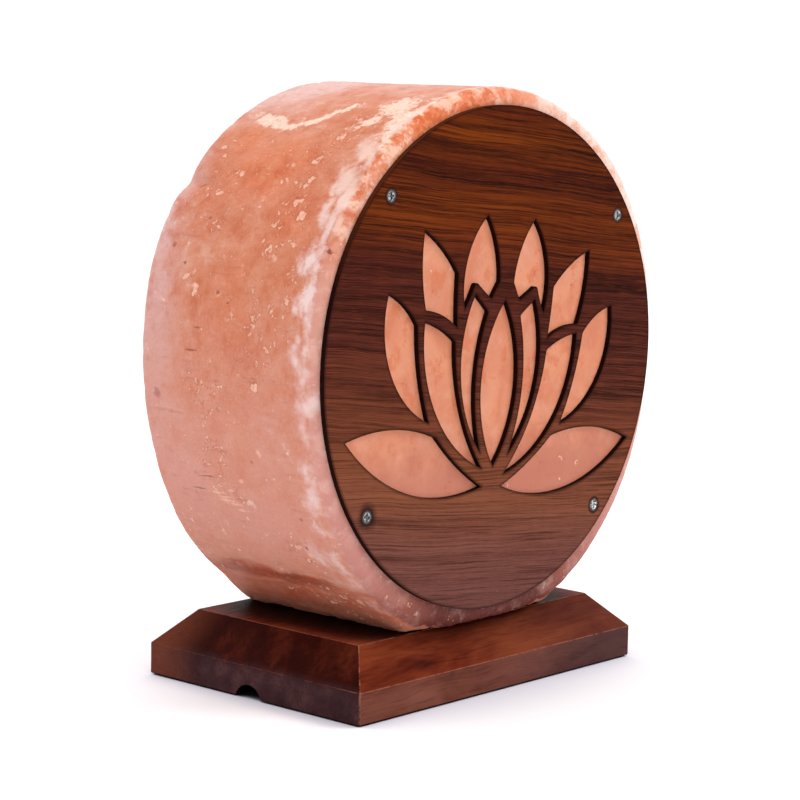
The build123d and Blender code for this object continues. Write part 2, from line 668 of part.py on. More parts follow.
for side, x in TERMINALS.items():
    with BuildPart(Plane(origin=(x, DRUM_Y, insert_bottom), z_dir=(0, 0, -1))) as terminal_screw:
        add(
            pan_head_screw(
                TERMINAL_SCREW_LENGTH,
                TERMINAL_SCREW_RADIUS,
                TERMINAL_SCREW_RADIUS,
                TERMINAL_HEAD_RADIUS,
                TERMINAL_HEAD_HEIGHT,
            )
        )
    save(terminal_screw.part, f"terminal_screw_{side}")

# ---------------------------------------------------------------- the bulb
with BuildPart() as bulb_cap:
    outside = zigzag(THREAD_ROOT, THREAD_CREST, bulb_cap_bottom, BULB_TURNS)
    inside = [(radius - CAP_WALL, z) for radius, z in outside]
    with BuildSketch(lamp_section):
        with BuildLine():
            Polyline(*outside, *reversed(inside), close=True)
        make_face()
    revolve(axis=lamp_centre)
save(bulb_cap.part, "bulb_cap")

with BuildPart() as bulb_insulator:
    plug_radius = THREAD_ROOT - CAP_WALL - FIT_PLAY
    with BuildSketch(lamp_section):
        with BuildLine():
            Polyline(
                (0, insulator_bottom),
                (INSULATOR_TIP_RADIUS, insulator_bottom),
                (THREAD_ROOT, bulb_cap_bottom),
                (plug_radius, bulb_cap_bottom),
                (plug_radius, bulb_cap_bottom + INSULATOR_TUCK),
                (0, bulb_cap_bottom + INSULATOR_TUCK),
                close=True,
            )
        make_face()
    revolve(axis=lamp_centre)
save(bulb_insulator.part, "bulb_insulator")

with BuildPart() as bulb_tip:
    with BuildSketch(Plane.XY.offset(contact_top)):
        with Locations(lamp_axis):
            Circle(TIP_RADIUS)
    extrude(amount=TIP_HEIGHT)
    fillet(bulb_tip.edges().sort_by(Axis.Z)[0], TIP_HEIGHT * 0.6)
save(bulb_tip.part, "bulb_tip")

with BuildPart() as bulb_glass:
    add(glass_outline(0, stem_bottom))
    revolve(axis=lamp_centre)
    add(glass_outline(GLASS_WALL, stem_bottom))
    revolve(axis=lamp_centre, mode=Mode.SUBTRACT)
save(bulb_glass.part, "bulb_glass")

with BuildPart() as bulb_stem:
    flare_radius = GLASS_NECK_RADIUS - GLASS_WALL - FIT_PLAY
    with BuildSketch(lamp_section):
        with BuildLine():
            Polyline(
                (0, stem_bottom),
                (flare_radius, stem_bottom),
                (STEM_RADIUS, stem_bottom + FLARE_HEIGHT),
                (STEM_RADIUS, stem_top),
                (0, stem_top),
                close=True,
            )
        make_face()
    revolve(axis=lamp_centre)
save(bulb_stem.part, "bulb_stem")

for name, side in {"lead_wire_left": -1, "lead_wire_right": 1}.items():
    lead_start = Vector(side * (STEM_RADIUS - 2 * LEAD_RADIUS), DRUM_Y, stem_top + LEAD_RADIUS)
    lead_end = Vector(side * LEAD_SPREAD, DRUM_Y, lead_top)
    lead_run = lead_end - lead_start
    with BuildPart() as lead_wire:
        with BuildSketch(Plane(origin=lead_start, z_dir=lead_run)):
            Circle(LEAD_RADIUS)
        extrude(amount=lead_run.length)
    save(lead_wire.part, name)

with BuildPart() as filament:
    filament_z = lead_top + LEAD_RADIUS + FILAMENT_RADIUS
    with BuildLine(lamp_section):
        coil = ThreePointArc(
            (-LEAD_SPREAD, filament_z),
            (0, filament_z + FILAMENT_RISE),
            (LEAD_SPREAD, filament_z),
        )
    with BuildSketch(Plane(origin=coil @ 0, z_dir=coil % 0)):
        Circle(FILAMENT_RADIUS)
    sweep()
save(filament.part, "filament")
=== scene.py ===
import math

import bmesh
import bpy
import numpy as np
from mathutils import Matrix, Vector, noise
from mathutils.geometry import delaunay_2d_cdt


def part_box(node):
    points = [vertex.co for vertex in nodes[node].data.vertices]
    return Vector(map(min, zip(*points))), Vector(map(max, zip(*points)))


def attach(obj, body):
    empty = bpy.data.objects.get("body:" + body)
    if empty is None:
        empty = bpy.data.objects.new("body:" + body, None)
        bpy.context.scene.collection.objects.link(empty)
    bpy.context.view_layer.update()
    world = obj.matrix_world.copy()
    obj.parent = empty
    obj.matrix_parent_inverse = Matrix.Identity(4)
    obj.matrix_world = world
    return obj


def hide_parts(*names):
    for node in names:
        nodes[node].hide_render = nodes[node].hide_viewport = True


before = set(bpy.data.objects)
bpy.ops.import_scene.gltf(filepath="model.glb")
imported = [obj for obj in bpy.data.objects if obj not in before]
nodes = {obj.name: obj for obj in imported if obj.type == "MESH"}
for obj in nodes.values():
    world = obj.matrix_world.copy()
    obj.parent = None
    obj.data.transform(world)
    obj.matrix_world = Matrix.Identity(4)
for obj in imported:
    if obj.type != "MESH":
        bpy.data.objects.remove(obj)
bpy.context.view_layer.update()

# Salt crystal lamp. The CAD pieces keep their places; the salt drum and the front panel are built
# again here with the surface of the real thing. Lengths are in millimetres, in the CAD's frame,
# until a mesh is made from them.

MM = 0.001


def box_mm(name):
    """A CAD node's lowest and highest corners in millimetres."""
    low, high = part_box(name)
    return np.array(low) / MM, np.array(high) / MM


# ---- places read from the frame
panel_low, panel_high = box_mm("front_panel")
drum_low, drum_high = box_mm("salt_drum")
PANEL_FRONT = panel_low[1]
PANEL_BACK = panel_high[1]
DRUM_FRONT = drum_low[1]
DRUM_BACK = drum_high[1]
SEAT_Z = box_mm("wooden_base")[1][2]  # the base's top, on which the salt stands
DRUM_Z = (panel_low[2] + panel_high[2]) / 2
LAMP_Y = (DRUM_FRONT + DRUM_BACK) / 2


# ---- node helpers
SIDE_LIGHT = 1.12  # how bright the scene's light makes the barrel
FRONT_LIGHT = 1.27  # and the front


class Value:
    """One output of a node in a finish, with short calls for what is worked out from it."""

    def __init__(self, finish, socket):
        self.finish = finish
        self.socket = socket

    def __add__(self, other):
        return self.finish.math("ADD", self, other)

    def __sub__(self, other):
        return self.finish.math("SUBTRACT", self, other)

    def __mul__(self, other):
        return self.finish.math("MULTIPLY", self, other)

    def step(self, low, high):
        """0 below low, 1 above high, and smooth between; low may be the larger of the two."""
        return self.finish.node(
            "MapRange", self, low, high, 0.0, 1.0, interpolation_type="SMOOTHSTEP"
        )

    def between(self, low, high, to_low, to_high):
        return self.finish.node("MapRange", self, low, high, to_low, to_high)

    def fade(self, at_0, at_1):
        return self.between(0, 1.0, at_0, at_1)

    def coats(self, *coats):
        """This colour with others over it, the last on top, each given as (share, colour)."""
        found = self
        for share, colour in coats:
            found = self.finish.mix(share, found, colour)
        return found

    def ramp(self, stops, light=SIDE_LIGHT):
        """The colour at this value on a band of stops, each a place and a colour as in lit()."""
        made = self.finish.node("ValToRGB", self)
        band = made.socket.node.color_ramp
        while len(band.elements) < len(stops):
            band.elements.new(1.0)
        for element, (place, *colour) in zip(band.elements, stops):
            element.position = place
            element.color = lit(*colour, light)
        return made

    def moved(self, offset):
        return self.finish.node("VectorMath", self, offset, operation="ADD")

    def scaled(self, *factors):
        return self.finish.node("VectorMath", self, factors, operation="MULTIPLY")

    def dot(self, *axis):
        return self.finish.node("VectorMath", self, axis, operation="DOT_PRODUCT", out="Value")

    def length(self):
        return self.finish.node("VectorMath", self, operation="LENGTH", out="Value")

    def split(self):
        made = self.finish.node("SeparateXYZ", self).socket.node
        return [Value(self.finish, socket) for socket in made.outputs]

    def noise(self, scale=1.0, detail=2.0, roughness=0.5, distortion=0.0, out="Fac"):
        return self.finish.node(
            "TexNoise", self, out=out,
            Scale=scale, Detail=detail, Roughness=roughness, Distortion=distortion,
        )

    def wander(self, scale, detail, roughness, reach):
        """A vector that drifts over the surface, by up to half of reach each way."""
        drift = self.noise(scale, detail, roughness, 0.0, "Color")
        return drift.moved((-0.5, -0.5, -0.5)).scaled(*reach)

    def cells(self, scale, out="Distance"):
        return self.finish.node("TexVoronoi", self, Scale=scale, out=out)


class Finish:
    """A procedural material round one Principled shader."""

    def __init__(self, name, **constants):
        self.material = bpy.data.materials.new(name)
        self.material.use_nodes = True
        self.tree = self.material.node_tree
        self.surface = self.tree.nodes["Principled BSDF"]
        for socket, value in constants.items():
            self.set(socket.replace("_", " "), value)
        self.metres = self.node("TexCoord", out="Object")
        self.cm = self.metres.scaled(100, 100, 100)

    def feed(self, socket, value):
        """Link a socket to a value, or set its constant."""
        if isinstance(value, Value):
            self.tree.links.new(value.socket, socket)
        else:
            socket.default_value = value

    def set(self, socket, value):
        self.feed(self.surface.inputs[socket], value)

    def node(self, kind, *inputs, out=0, **settings):
        """An output of a new node. Settings with a capital letter are inputs given by name."""
        made = self.tree.nodes.new("ShaderNode" + kind)
        for name, value in settings.items():
            if name[0].isupper():
                self.feed(made.inputs[name], value)
            else:
                setattr(made, name, value)
        for socket, value in zip(made.inputs, inputs):
            if value is not None:
                self.feed(socket, value)
        return Value(self, made.outputs[out])

    def math(self, operation, a, b=0.0):
        return self.node("Math", a, b, operation=operation)

    def join(self, x, y, z):
        return self.node("CombineXYZ", x, y, z)

    def attribute(self, name):
        return self.node("Attribute", attribute_name=name, out="Fac")

    def openness(self, distance):
        """1 where nothing is near, down to 0 in a closed corner."""
        return self.node("AmbientOcclusion", samples=8, Distance=distance, out="AO")

    def mix(self, share, a, b, blend="MIX"):
        unused = [None] * 5
        return self.node(
            "Mix", share, *unused, a, b, data_type="RGBA", blend_type=blend, clamp_factor=True, out=2
        )

    def done(self, colour, rough=None, bump=None):
        """The material, with its colour, its roughness as a noise and the values that the noise
        gives it, and its bump as a height, a distance and a strength."""
        self.set("Base Color", colour)
        if rough:
            pattern, low, high = rough
            self.set("Roughness", pattern.between(0.3, 0.7, low, high))
        if bump:
            height, distance, strength = bump
            self.set("Normal", self.node("Bump", strength, distance, Height=height))
        return self.material


def largest(*values):
    found = values[0]
    for value in values[1:]:
        found = found.finish.math("MAXIMUM", found, value)
    return found


def lit(red, green, blue, light=SIDE_LIGHT):
    """The linear colour that a light of that strength shows as the three given 0 to 255 values."""
    def linear(value):
        share = value / 255
        return share / 12.92 if share <= 0.04045 else ((share + 0.055) / 1.055) ** 2.4
    return (linear(red) / light, linear(green) / light, linear(blue) / light, 1.0)


def lit_front(red, green, blue):
    return lit(red, green, blue, FRONT_LIGHT)


# ---- mesh helpers
def smooth(value, low, high):
    share = np.clip((value - low) / (high - low), 0, 1)
    return share * share * (3 - 2 * share)


def hump(value, width):
    """1 at zero, and falling away over about that width to both sides."""
    return np.exp(-((value / width) ** 2))


def field(points, size, seed):
    """Smooth noise from -1 to 1 with features of about that size, one value for each point."""
    shift = Vector((seed * 17.3, seed * 5.9, seed * 11.7))
    return np.array([noise.noise(Vector(p) / size + shift) for p in points])


def hexagons(low, high, step):
    """The points of a hexagonal grid over a flat box."""
    rows = np.arange(low[1], high[1], step * math.sqrt(3) / 2)
    return np.array([
        (x + (step / 2 if j % 2 else 0.0), y)
        for j, y in enumerate(rows)
        for x in np.arange(low[0], high[0], step)
    ])


def encloses(starts, ends, p):
    """Whether a point is inside the closed loops whose sides run from starts to ends."""
    (x, y), (end_x, end_y) = starts.T, ends.T
    crosses = (y > p[1]) != (end_y > p[1])
    with np.errstate(divide="ignore", invalid="ignore"):
        at = x + (p[1] - y) / (end_y - y) * (end_x - x)
    return bool(np.count_nonzero(crosses & (p[0] < at)) % 2)


def triangulate(points, loops, inside, tolerance):
    """Triangles over flat points, of which the first are those of the loops, where inside holds."""
    edges = []
    start = 0
    for loop in loops:
        count = len(loop)
        edges += [(start + i, start + (i + 1) % count) for i in range(count)]
        start += count
    made = delaunay_2d_cdt([Vector(p) for p in points], edges, [], 1, tolerance)
    places, triangles, origins = made[0], made[2], made[3]
    kept = []
    for triangle in triangles:
        middle = sum((places[i] for i in triangle), Vector((0, 0))) / len(triangle)
        if inside(middle):
            kept.append([origins[i][0] for i in triangle])
    return kept


def band(before, after):
    """The four-sided faces between two closed rings of as many points."""
    faces = []
    for i in range(len(before)):
        j = (i + 1) % len(before)
        faces.append((before[i], before[j], after[j], after[i]))
    return faces


def make_mesh(name, points, faces, floats, smooth_shade):
    """A mesh object from points in millimetres, with one float attribute for each list in floats."""
    mesh = bpy.data.meshes.new(name)
    mesh.from_pydata([tuple(p) for p in np.asarray(points) * MM], [], faces)
    mesh.validate()
    for key, values in floats.items():
        made = mesh.attributes.new(key, "FLOAT", "POINT")
        made.data.foreach_set("value", np.asarray(values, dtype=np.float32))
    tidy = bmesh.new()
    tidy.from_mesh(mesh)
    bmesh.ops.recalc_face_normals(tidy, faces=tidy.faces)
    tidy.to_mesh(mesh)
    tidy.free()
    mesh.polygons.foreach_set("use_smooth", [smooth_shade] * len(mesh.polygons))
    piece = bpy.data.objects.new(name, mesh)
    bpy.context.scene.collection.objects.link(piece)
    return piece


# ---- the salt's shape
# The outline seen from the front, as (angle, radius): 0 is to the right, 90 up, and the two ends
# of the flat that the salt stands on are at 248 and 292.
ROCK_OUTLINE = (
    (0, 99.6), (25, 101.5), (42, 102.2), (66, 101.7), (90, 101.5), (110, 101.4), (125, 101),
    (133, 100.7), (139, 99.3), (145, 101), (158, 100.5), (172, 98.8), (186, 98.4), (200, 99),
    (212, 100.8), (222, 102.7), (230, 103.9), (238, 104.6), (248, 108.4), (270, 110),
    (292, 108.4), (302, 104.9), (310, 103.9), (322, 103.2), (340, 101.4),
)
SOFTEN_REACH = 6  # columns to each side that soften an outline's corner
COLUMNS = 680
ROW_STEP = 0.95
FRONT_BEVEL = (4.0, 3.6)  # how far it reaches in from the rim, and back from the front
BACK_BEVEL = (4.5, 4.2)
BEVEL_ROWS = 6
SEAT_MARGIN = 14  # columns at each side of the seat that stay out of its flat patch
SEAT_ROWS = BEVEL_ROWS + 3  # and rows at each end
CORNER_ANGLE = 22.0  # where the foot's front corners are, to each side of straight down
CORNER_SPREAD = 7.0
CORNER_SWELL = 1.5  # how much rounder they are than the rest of the front edge
LAMP_HOLE_RADIUS = 20.0
BORE_TOP = SEAT_Z + 105.0
BORE_TOP_ROUND = 8.0
BORE_TOP_FLAT = 0.3  # share of the radius at which the bore's top is closed
BORE_WALL_STEPS = range(5, 97, 7)
LAMP_HOLE_POINTS = 48
PLUG_HOLE_POINTS = 24
PLUG_CLEARANCE = 0.05
DRUM_PLUG_DEPTHS = (12.0, 24.1)
PANEL_PLUG_DEPTHS = (8.0, 15.1)
UNDERSIDE_GRID = 3.0  # spacing of the points over each flat face
FRONT_GRID = 2.2
BACK_GRID = 1.7
FRONT_RELIEF = 0.07  # how far their relief goes, along y
BACK_RELIEF = -0.22
KEEP_OFF = 0.55  # share of a grid's spacing that its points keep from a rim
INSIDE_HOLE = 0.985  # share of a hole's radius within which a point is surely in it
INSIDE_CAD = 0.02  # how far the relief stays inside the CAD's box
# The barrel's relief: heights, with the size of the features and the seed of each noise.
SWELLS = (0.45, 34.0, 1)
DENTS = (0.22, 9.0, 2)
GRAIN = (0.09, 2.6, 3)
# How far along the barrel, or up it, an edge crumbles, and how deep the crumbling goes.
EDGE_REACH = 3.0
FOOT_REACH = 5.0
FRONT_CRUMBLE = 0.55
BACK_CRUMBLE = 0.7
FOOT_CRUMBLE = 1.0
SEAT_CRUMBLE = 0.9  # how much higher the foot is at a crumbled place
FACE_RAGGED = 0.25  # how far the bevels follow the ragged noise, along y
CHIP_ANGLE = 139.5  # of the chip in the barrel's back half
CHIP_WIDTH = 1.9  # in degrees
CHIP_DEPTH = 1.9
CHIP_FROM, CHIP_FULL = 15.0, 34.0
# Cuts in the barrel, each as (angle, y, length, width, depth, slope): a gouge runs along y and
# climbs by slope degrees of angle over its length.
GOUGES = (
    (205.5, 13, 9, 0.9, 0.5, 1), (208, 3, 14, 1.6, 0.7, 1.5),
    (209.6, -4, 9, 1, 0.6, 1.5), (226.6, 36, 18, 1.2, 0.6, 2.5),
    (229.5, 22, 22, 1.1, 0.7, 3), (233.5, 8, 16, 1, 0.6, 1),
    (234.8, -12, 24, 1.3, 0.8, -1), (172.3, 13, 4, 0.7, 0.4, 0.5),
    (177.2, 15, 3, 0.7, 0.4, 0.5), (219, -24, 4, 1.2, 0.7, 2),
    (40, 20, 15, 1.2, 0.6, 2), (22, -10, 12, 1, 0.5, -1.5),
    (335, 8, 18, 1.2, 0.6, 2), (320, 22, 20, 1.1, 0.7, 1.5),
)
GOUGE_RADIUS = 102  # of the skin that the gouges' widths are measured on


def rock_radius(angles):
    """The outline's radius at each angle in degrees, with its corners softened, and whether the
    seat cuts it there."""
    places, radii = zip(*ROCK_OUTLINE)
    raw = np.interp(angles, places, radii, period=360)
    weights = np.hanning(2 * SOFTEN_REACH + 3)[1:-1]
    weights /= weights.sum()
    padded = np.concatenate([raw[-SOFTEN_REACH:], raw, raw[:SOFTEN_REACH]])
    soft = np.convolve(padded, weights, mode="valid")
    drop = -np.sin(np.radians(angles))
    to_seat = np.where(drop > 0.5, (DRUM_Z - SEAT_Z) / np.maximum(drop, 0.5), math.inf)
    return np.minimum(soft, to_seat), soft > to_seat


def rock_rows():
    """The rows' y from the back face's rim to the front face's, and how much each faces outwards."""
    turns = np.linspace(0, math.pi / 2, BEVEL_ROWS + 1)
    shares = [i / BEVEL_ROWS for i in range(BEVEL_ROWS + 1)]
    back = [DRUM_BACK - BACK_BEVEL[1] * (1 - math.cos(turn)) for turn in turns]
    front = [DRUM_FRONT + FRONT_BEVEL[1] * (1 - math.cos(turn)) for turn in turns][::-1]
    count = round((back[-1] - front[0]) / ROW_STEP)
    between = list(np.linspace(back[-1], front[0], count + 1)[1:-1])
    return np.array(back + between + front), np.array(shares + [1.0] * len(between) + shares[::-1])


def inset_at(gap, reach, depth):
    """How far an elliptical edge draws the outline in, at a distance from the face."""
    rise = np.clip(1 - gap / depth, 0, 1)
    return reach * (1 - np.sqrt(1 - rise**2))


def circle(centre, radius, count):
    turns = np.linspace(0, 2 * math.pi, count, endpoint=False)
    return np.stack([centre[0] + radius * np.cos(turns), centre[1] + radius * np.sin(turns)], 1)


def hole_of(name, axes):
    """A plug's hole: its middle along two axes, its radius and the number of its points."""
    low, high = box_mm(name)
    radius = (high - low)[axes[0]] / 2 + PLUG_CLEARANCE
    return ((low + high) / 2)[list(axes)], radius, PLUG_HOLE_POINTS


def gouged(angles, depths):
    """How deep the gouges cut at each point of the barrel."""
    cut = np.zeros(len(angles))
    for angle, y, length, width, depth, slope in GOUGES:
        along = (depths - y) / (length / 2)
        lift = (angles - angle - slope * along / 2) * math.radians(1) * GOUGE_RADIUS
        cut = np.maximum(cut, depth * np.clip(1 - along**2, 0, 1) * hump(lift, width))
    return cut


def barrel_points(angles, levels, shares):
    """The drum's outer points, row by row from its back face's rim to its front face's."""
    radii, on_seat = rock_radius(angles)
    rows = len(levels)
    theta = np.tile(angles, rows)
    depth = np.repeat(levels, COLUMNS)
    outward = np.repeat(shares, COLUMNS)
    swollen = 1 + CORNER_SWELL * hump(np.abs(theta - 270) - CORNER_ANGLE, CORNER_SPREAD)
    front_inset = inset_at(depth - DRUM_FRONT, FRONT_BEVEL[0] * swollen, FRONT_BEVEL[1] * swollen)
    inset = front_inset + inset_at(DRUM_BACK - depth, *BACK_BEVEL)
    radius = np.tile(radii, rows) - inset
    direction = np.stack([np.cos(np.radians(theta)), 0 * theta, np.sin(np.radians(theta))], 1)
    points = direction * radius[:, None]
    points[:, 1] = depth
    points[:, 2] += DRUM_Z

    swell, dents, grain = (
        height * field(points, size, seed) for height, size, seed in (SWELLS, DENTS, GRAIN)
    )
    front_edge = hump(depth - DRUM_FRONT - FRONT_BEVEL[1], EDGE_REACH)
    back_edge = hump(depth - DRUM_BACK + BACK_BEVEL[1], EDGE_REACH)
    foot_edge = hump(points[:, 2] - SEAT_Z, FOOT_REACH)
    ragged = field(points, 4.2, 4) + 0.5 * field(points, 1.9, 5)
    crumble = np.clip(ragged, 0, None)
    edges = FRONT_CRUMBLE * front_edge + BACK_CRUMBLE * back_edge + FOOT_CRUMBLE * foot_edge
    chip = CHIP_DEPTH * hump(theta - CHIP_ANGLE, CHIP_WIDTH) * smooth(depth, CHIP_FROM, CHIP_FULL)
    move = swell + dents + grain * (1 + front_edge + 2 * foot_edge)
    move -= edges * crumble + gouged(theta, depth) + chip
    seated = np.tile(on_seat, rows) & (inset < 0.01)
    points += direction * (np.where(seated, 0.0, move) * outward.clip(0.15, 1))[:, None]
    points[:, 2] = np.where(seated, SEAT_Z + SEAT_CRUMBLE * crumble, points[:, 2])
    inward = np.where(depth > 0, -FACE_RAGGED, FACE_RAGGED)
    points[:, 1] += (1 - outward) * inward * (1 + ragged.clip(-1, 1))
    points = points.clip(drum_low + INSIDE_CAD, drum_high - INSIDE_CAD)
    points[:, 2] = points[:, 2].clip(SEAT_Z, None)
    return points, np.where(on_seat)[0]


def build_salt():
    angles = np.arange(COLUMNS) * 360 / COLUMNS
    levels, shares = rock_rows()
    points, seat_cols = barrel_points(angles, levels, shares)
    rows = len(levels)
    first_row, last_row = SEAT_ROWS, rows - 1 - SEAT_ROWS
    first_col, last_col = int(seat_cols[0]) + SEAT_MARGIN, int(seat_cols[-1]) - SEAT_MARGIN
    index = np.arange(rows * COLUMNS).reshape(rows, COLUMNS)
    points[index[first_row : last_row + 1, first_col : last_col + 1].ravel(), 2] = SEAT_Z
    faces = []
    for r in range(rows - 1):
        ring = band(index[r].tolist(), index[r + 1].tolist())
        if first_row <= r < last_row:
            ring[first_col:last_col] = []
        faces += ring
    points = list(map(tuple, points))

    def sink(rim, centre, rings, axes):
        """Continue a hole inwards through rings of (scale, level), and close its end."""
        flat, level_axis = axes
        start = np.array([points[i] for i in rim])
        for scale, level in rings:
            ring = start.copy()
            ring[:, flat] = centre + (start[:, flat] - centre) * scale
            ring[:, level_axis] = level
            ids = list(range(len(points), len(points) + len(ring)))
            points.extend(map(tuple, ring))
            faces.extend(band(rim, ids))
            rim = ids
        faces.append(tuple(rim))

    def patch(outline_ids, axes, holes, level, spacing, relief):
        """Fill a flat outline, leaving the holes open, and return the ids of each hole's rim."""
        flat, level_axis = axes
        outline = np.array([points[i] for i in outline_ids])[:, flat]
        ahead = np.roll(outline, -1, axis=0)
        loops = [outline] + [circle(*hole) for hole in holes]

        def inside(p):
            for (x, y), size, _ in holes:
                if math.hypot(p[0] - x, p[1] - y) < size * INSIDE_HOLE:
                    return False
            return encloses(outline, ahead, p)

        rim = np.concatenate(loops)
        grid = [p for p in hexagons(outline.min(0), outline.max(0), spacing) if inside(p)]
        grid = [p for p in grid if np.min(np.hypot(*(rim - p).T)) > spacing * KEEP_OFF]
        ids = list(outline_ids)
        flat_points = np.concatenate([rim, grid])
        for k in range(len(outline), len(flat_points)):
            p = flat_points[k]
            place = [0.0, 0.0, 0.0]
            place[flat[0]], place[flat[1]] = p
            place[level_axis] = level if k < len(rim) else level + relief(p)
            ids.append(len(points))
            points.append(tuple(place))
        triangles = triangulate(flat_points, loops, inside, 1e-5)
        faces.extend(tuple(ids[i] for i in triangle) for triangle in triangles)
        ends = np.cumsum([len(loop) for loop in loops])
        return [ids[start:end] for start, end in zip(ends, ends[1:])]

    def face_relief(size, seed):
        def relief(p):
            at = Vector((p[0], p[1], seed * 40.0))
            wave = 1 + noise.noise(at / 14) + 0.5 * noise.noise(at / 4.5)
            return size * max(wave, 0.0)
        return relief

    # the flat underside, with the lamp hole and the two plugs' holes
    plan = ([0, 1], 2)
    top = index[first_row, first_col:last_col]
    right = index[first_row:last_row, last_col]
    bottom = index[last_row, last_col:first_col:-1]
    left = index[last_row:first_row:-1, first_col]
    loop = np.concatenate([top, right, bottom, left]).tolist()
    lamp = (np.array([0.0, LAMP_Y]), LAMP_HOLE_RADIUS, LAMP_HOLE_POINTS)
    fixings = [hole_of(f"drum_plug_{end}", (0, 1)) for end in ("front", "back")]
    rims = patch(loop, plan, [lamp] + fixings, SEAT_Z, UNDERSIDE_GRID, lambda p: 0.0)
    bore = [(1.0, SEAT_Z + height) for height in BORE_WALL_STEPS]
    for turn in np.linspace(0, math.pi / 2, 7):
        reach = LAMP_HOLE_RADIUS - BORE_TOP_ROUND * (1 - math.cos(turn))
        bore.append((reach / LAMP_HOLE_RADIUS, BORE_TOP - BORE_TOP_ROUND * (1 - math.sin(turn))))
    sink(rims[0], lamp[0], bore + [(BORE_TOP_FLAT, BORE_TOP)], plan)
    for rim, hole in zip(rims[1:], fixings):
        sink(rim, hole[0], [(1.0, SEAT_Z + depth) for depth in DRUM_PLUG_DEPTHS], plan)

    # the front face, with the panel plugs' holes, and the back face
    upright = ([0, 2], 1)
    plugs = [hole_of(f"panel_plug_{corner}", (0, 2)) for corner in SCREWS]
    front_loop = index[-1].tolist()
    for i in front_loop:
        points[i] = (points[i][0], DRUM_FRONT, points[i][2])
    rims = patch(front_loop, upright, plugs, DRUM_FRONT, FRONT_GRID, face_relief(FRONT_RELIEF, 1))
    for rim, hole in zip(rims, plugs):
        sink(rim, hole[0], [(1.0, DRUM_FRONT + depth) for depth in PANEL_PLUG_DEPTHS], upright)
    patch(index[0].tolist(), upright, [], DRUM_BACK, BACK_GRID, face_relief(BACK_RELIEF, 2))

    piece = make_mesh("salt_block", points, faces, salt_tints(np.array(points)), True)
    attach(piece, "lamp_body")
    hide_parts("salt_drum")
    return piece


# ---- the salt's looks
# Soft patches of each tint on the barrel, as (angle, y, degrees wide, mm deep, strength).
PATCHES = {
    "warm": (
        (134, 0, 10, 30, 1), (128, 22, 7, 16, 0.9), (148, -20, 12, 16, 0.7), (168, -4, 20, 18, 0.62),
        (60, 10, 22, 22, 0.7), (20, -15, 16, 16, 0.5), (330, 10, 14, 26, 0.5),
    ),
    "pink": (
        (152, 42, 22, 9, 1), (184, 40, 30, 17, 1.3), (208, 28, 16, 20, 1.1), (216, -8, 12, 40, 0.8),
        (200, -22, 12, 12, 0.5), (100, 34, 17, 24, 1.3), (96, -10, 12, 26, 0.5), (10, 25, 22, 14, 0.8),
        (350, -30, 14, 16, 0.7), (318, 0, 8, 40, 0.7), (226, 44, 9, 5, 1),
    ),
    "deep": (
        (232.5, 4, 3.4, 40, 1), (239, -6, 5.5, 40, 0.9), (310, 0, 7, 38, 0.8), (304, 0, 6, 40, 0.7),
    ),
    "cream": (
        (119, 31, 1.6, 4, 0.8), (112, -31, 6, 9, 1), (118, -40, 5, 6, 1), (119, -25, 3, 7, 0.8),
        (124, -42, 4, 4, 0.7), (66, 12, 3, 14, 0.8), (72, -4, 5, 6, 0.7), (20, 30, 4, 9, 0.7),
    ),
    "frost": (
        (146, -38, 5, 6, 0.8), (156, -37, 4, 6, 0.75), (165, -39, 4, 5, 0.7), (175, -42, 5, 5, 0.9),
        (185, -42, 5, 5, 0.9), (199, -40, 4, 5, 0.9), (206, -39, 4, 5, 0.9), (221, -30, 3.4, 6, 0.75),
        (229, -34, 3, 6, 0.5), (150, 38, 6, 6, 0.4), (128, -37, 6, 6, 0.8), (137, -38, 6, 6, 0.8),
    ),
    "lace": (
        (131, 30, 4, 6, 1), (134, -13, 5, 8, 1), (127, -18, 5, 9, 0.9), (148, -19, 6, 9, 1),
        (153, -18, 5, 7, 0.9), (142, 27, 5, 7, 0.7), (138, 18, 4, 6, 0.9), (150, 13, 4, 6, 0.8),
        (163.6, 17, 4, 5, 0.9), (137, -18, 4, 6, 1), (130, -21, 4, 5, 0.8), (187, 8, 8, 12, 0.7),
        (201, 6, 5, 10, 0.8), (209, 2, 4, 9, 0.9), (165, -30, 10, 10, 0.7), (222, -20, 5, 12, 0.7),
        (236, -24, 4, 16, 1), (244, -22, 4, 16, 0.9), (172, -18, 16, 16, 0.55), (40, 5, 12, 20, 0.8),
        (340, -5, 12, 20, 0.8), (300, -10, 8, 26, 1), (90, 10, 18, 30, 0.5),
    ),
}
# Dark specks in the salt, as (angle, y, radius, strength).
SPECKS = (
    (159.1, 23.5, 0.9, 0.6), (164.6, 3.4, 1.1, 0.65), (148.9, 17.7, 0.7, 0.5),
    (142.4, -19.6, 0.6, 0.5), (153.6, -45.2, 0.9, 0.75), (187.5, 33.4, 2, 0.4),
    (219.5, -26.5, 0.9, 0.6), (140.5, 32.5, 1.3, 0.4), (200, -12, 0.6, 0.4),
    (155.5, 31, 0.9, 0.45), (166.5, -2, 0.5, 0.5), (212, -30, 0.7, 0.5),
    (30, 12, 1.1, 0.6), (55, -20, 0.8, 0.5), (345, 22, 1, 0.5),
)
# Thin dark dashes, as (angle, y, half length along y, half width).
DASHES = (
    (177.2, 14.6, 2.4, 0.35), (172.3, 12.4, 2, 0.3), (205.3, 13.9, 4, 0.35),
    (208.5, 20, 2.6, 0.3), (36, -6, 3.5, 0.4),
)
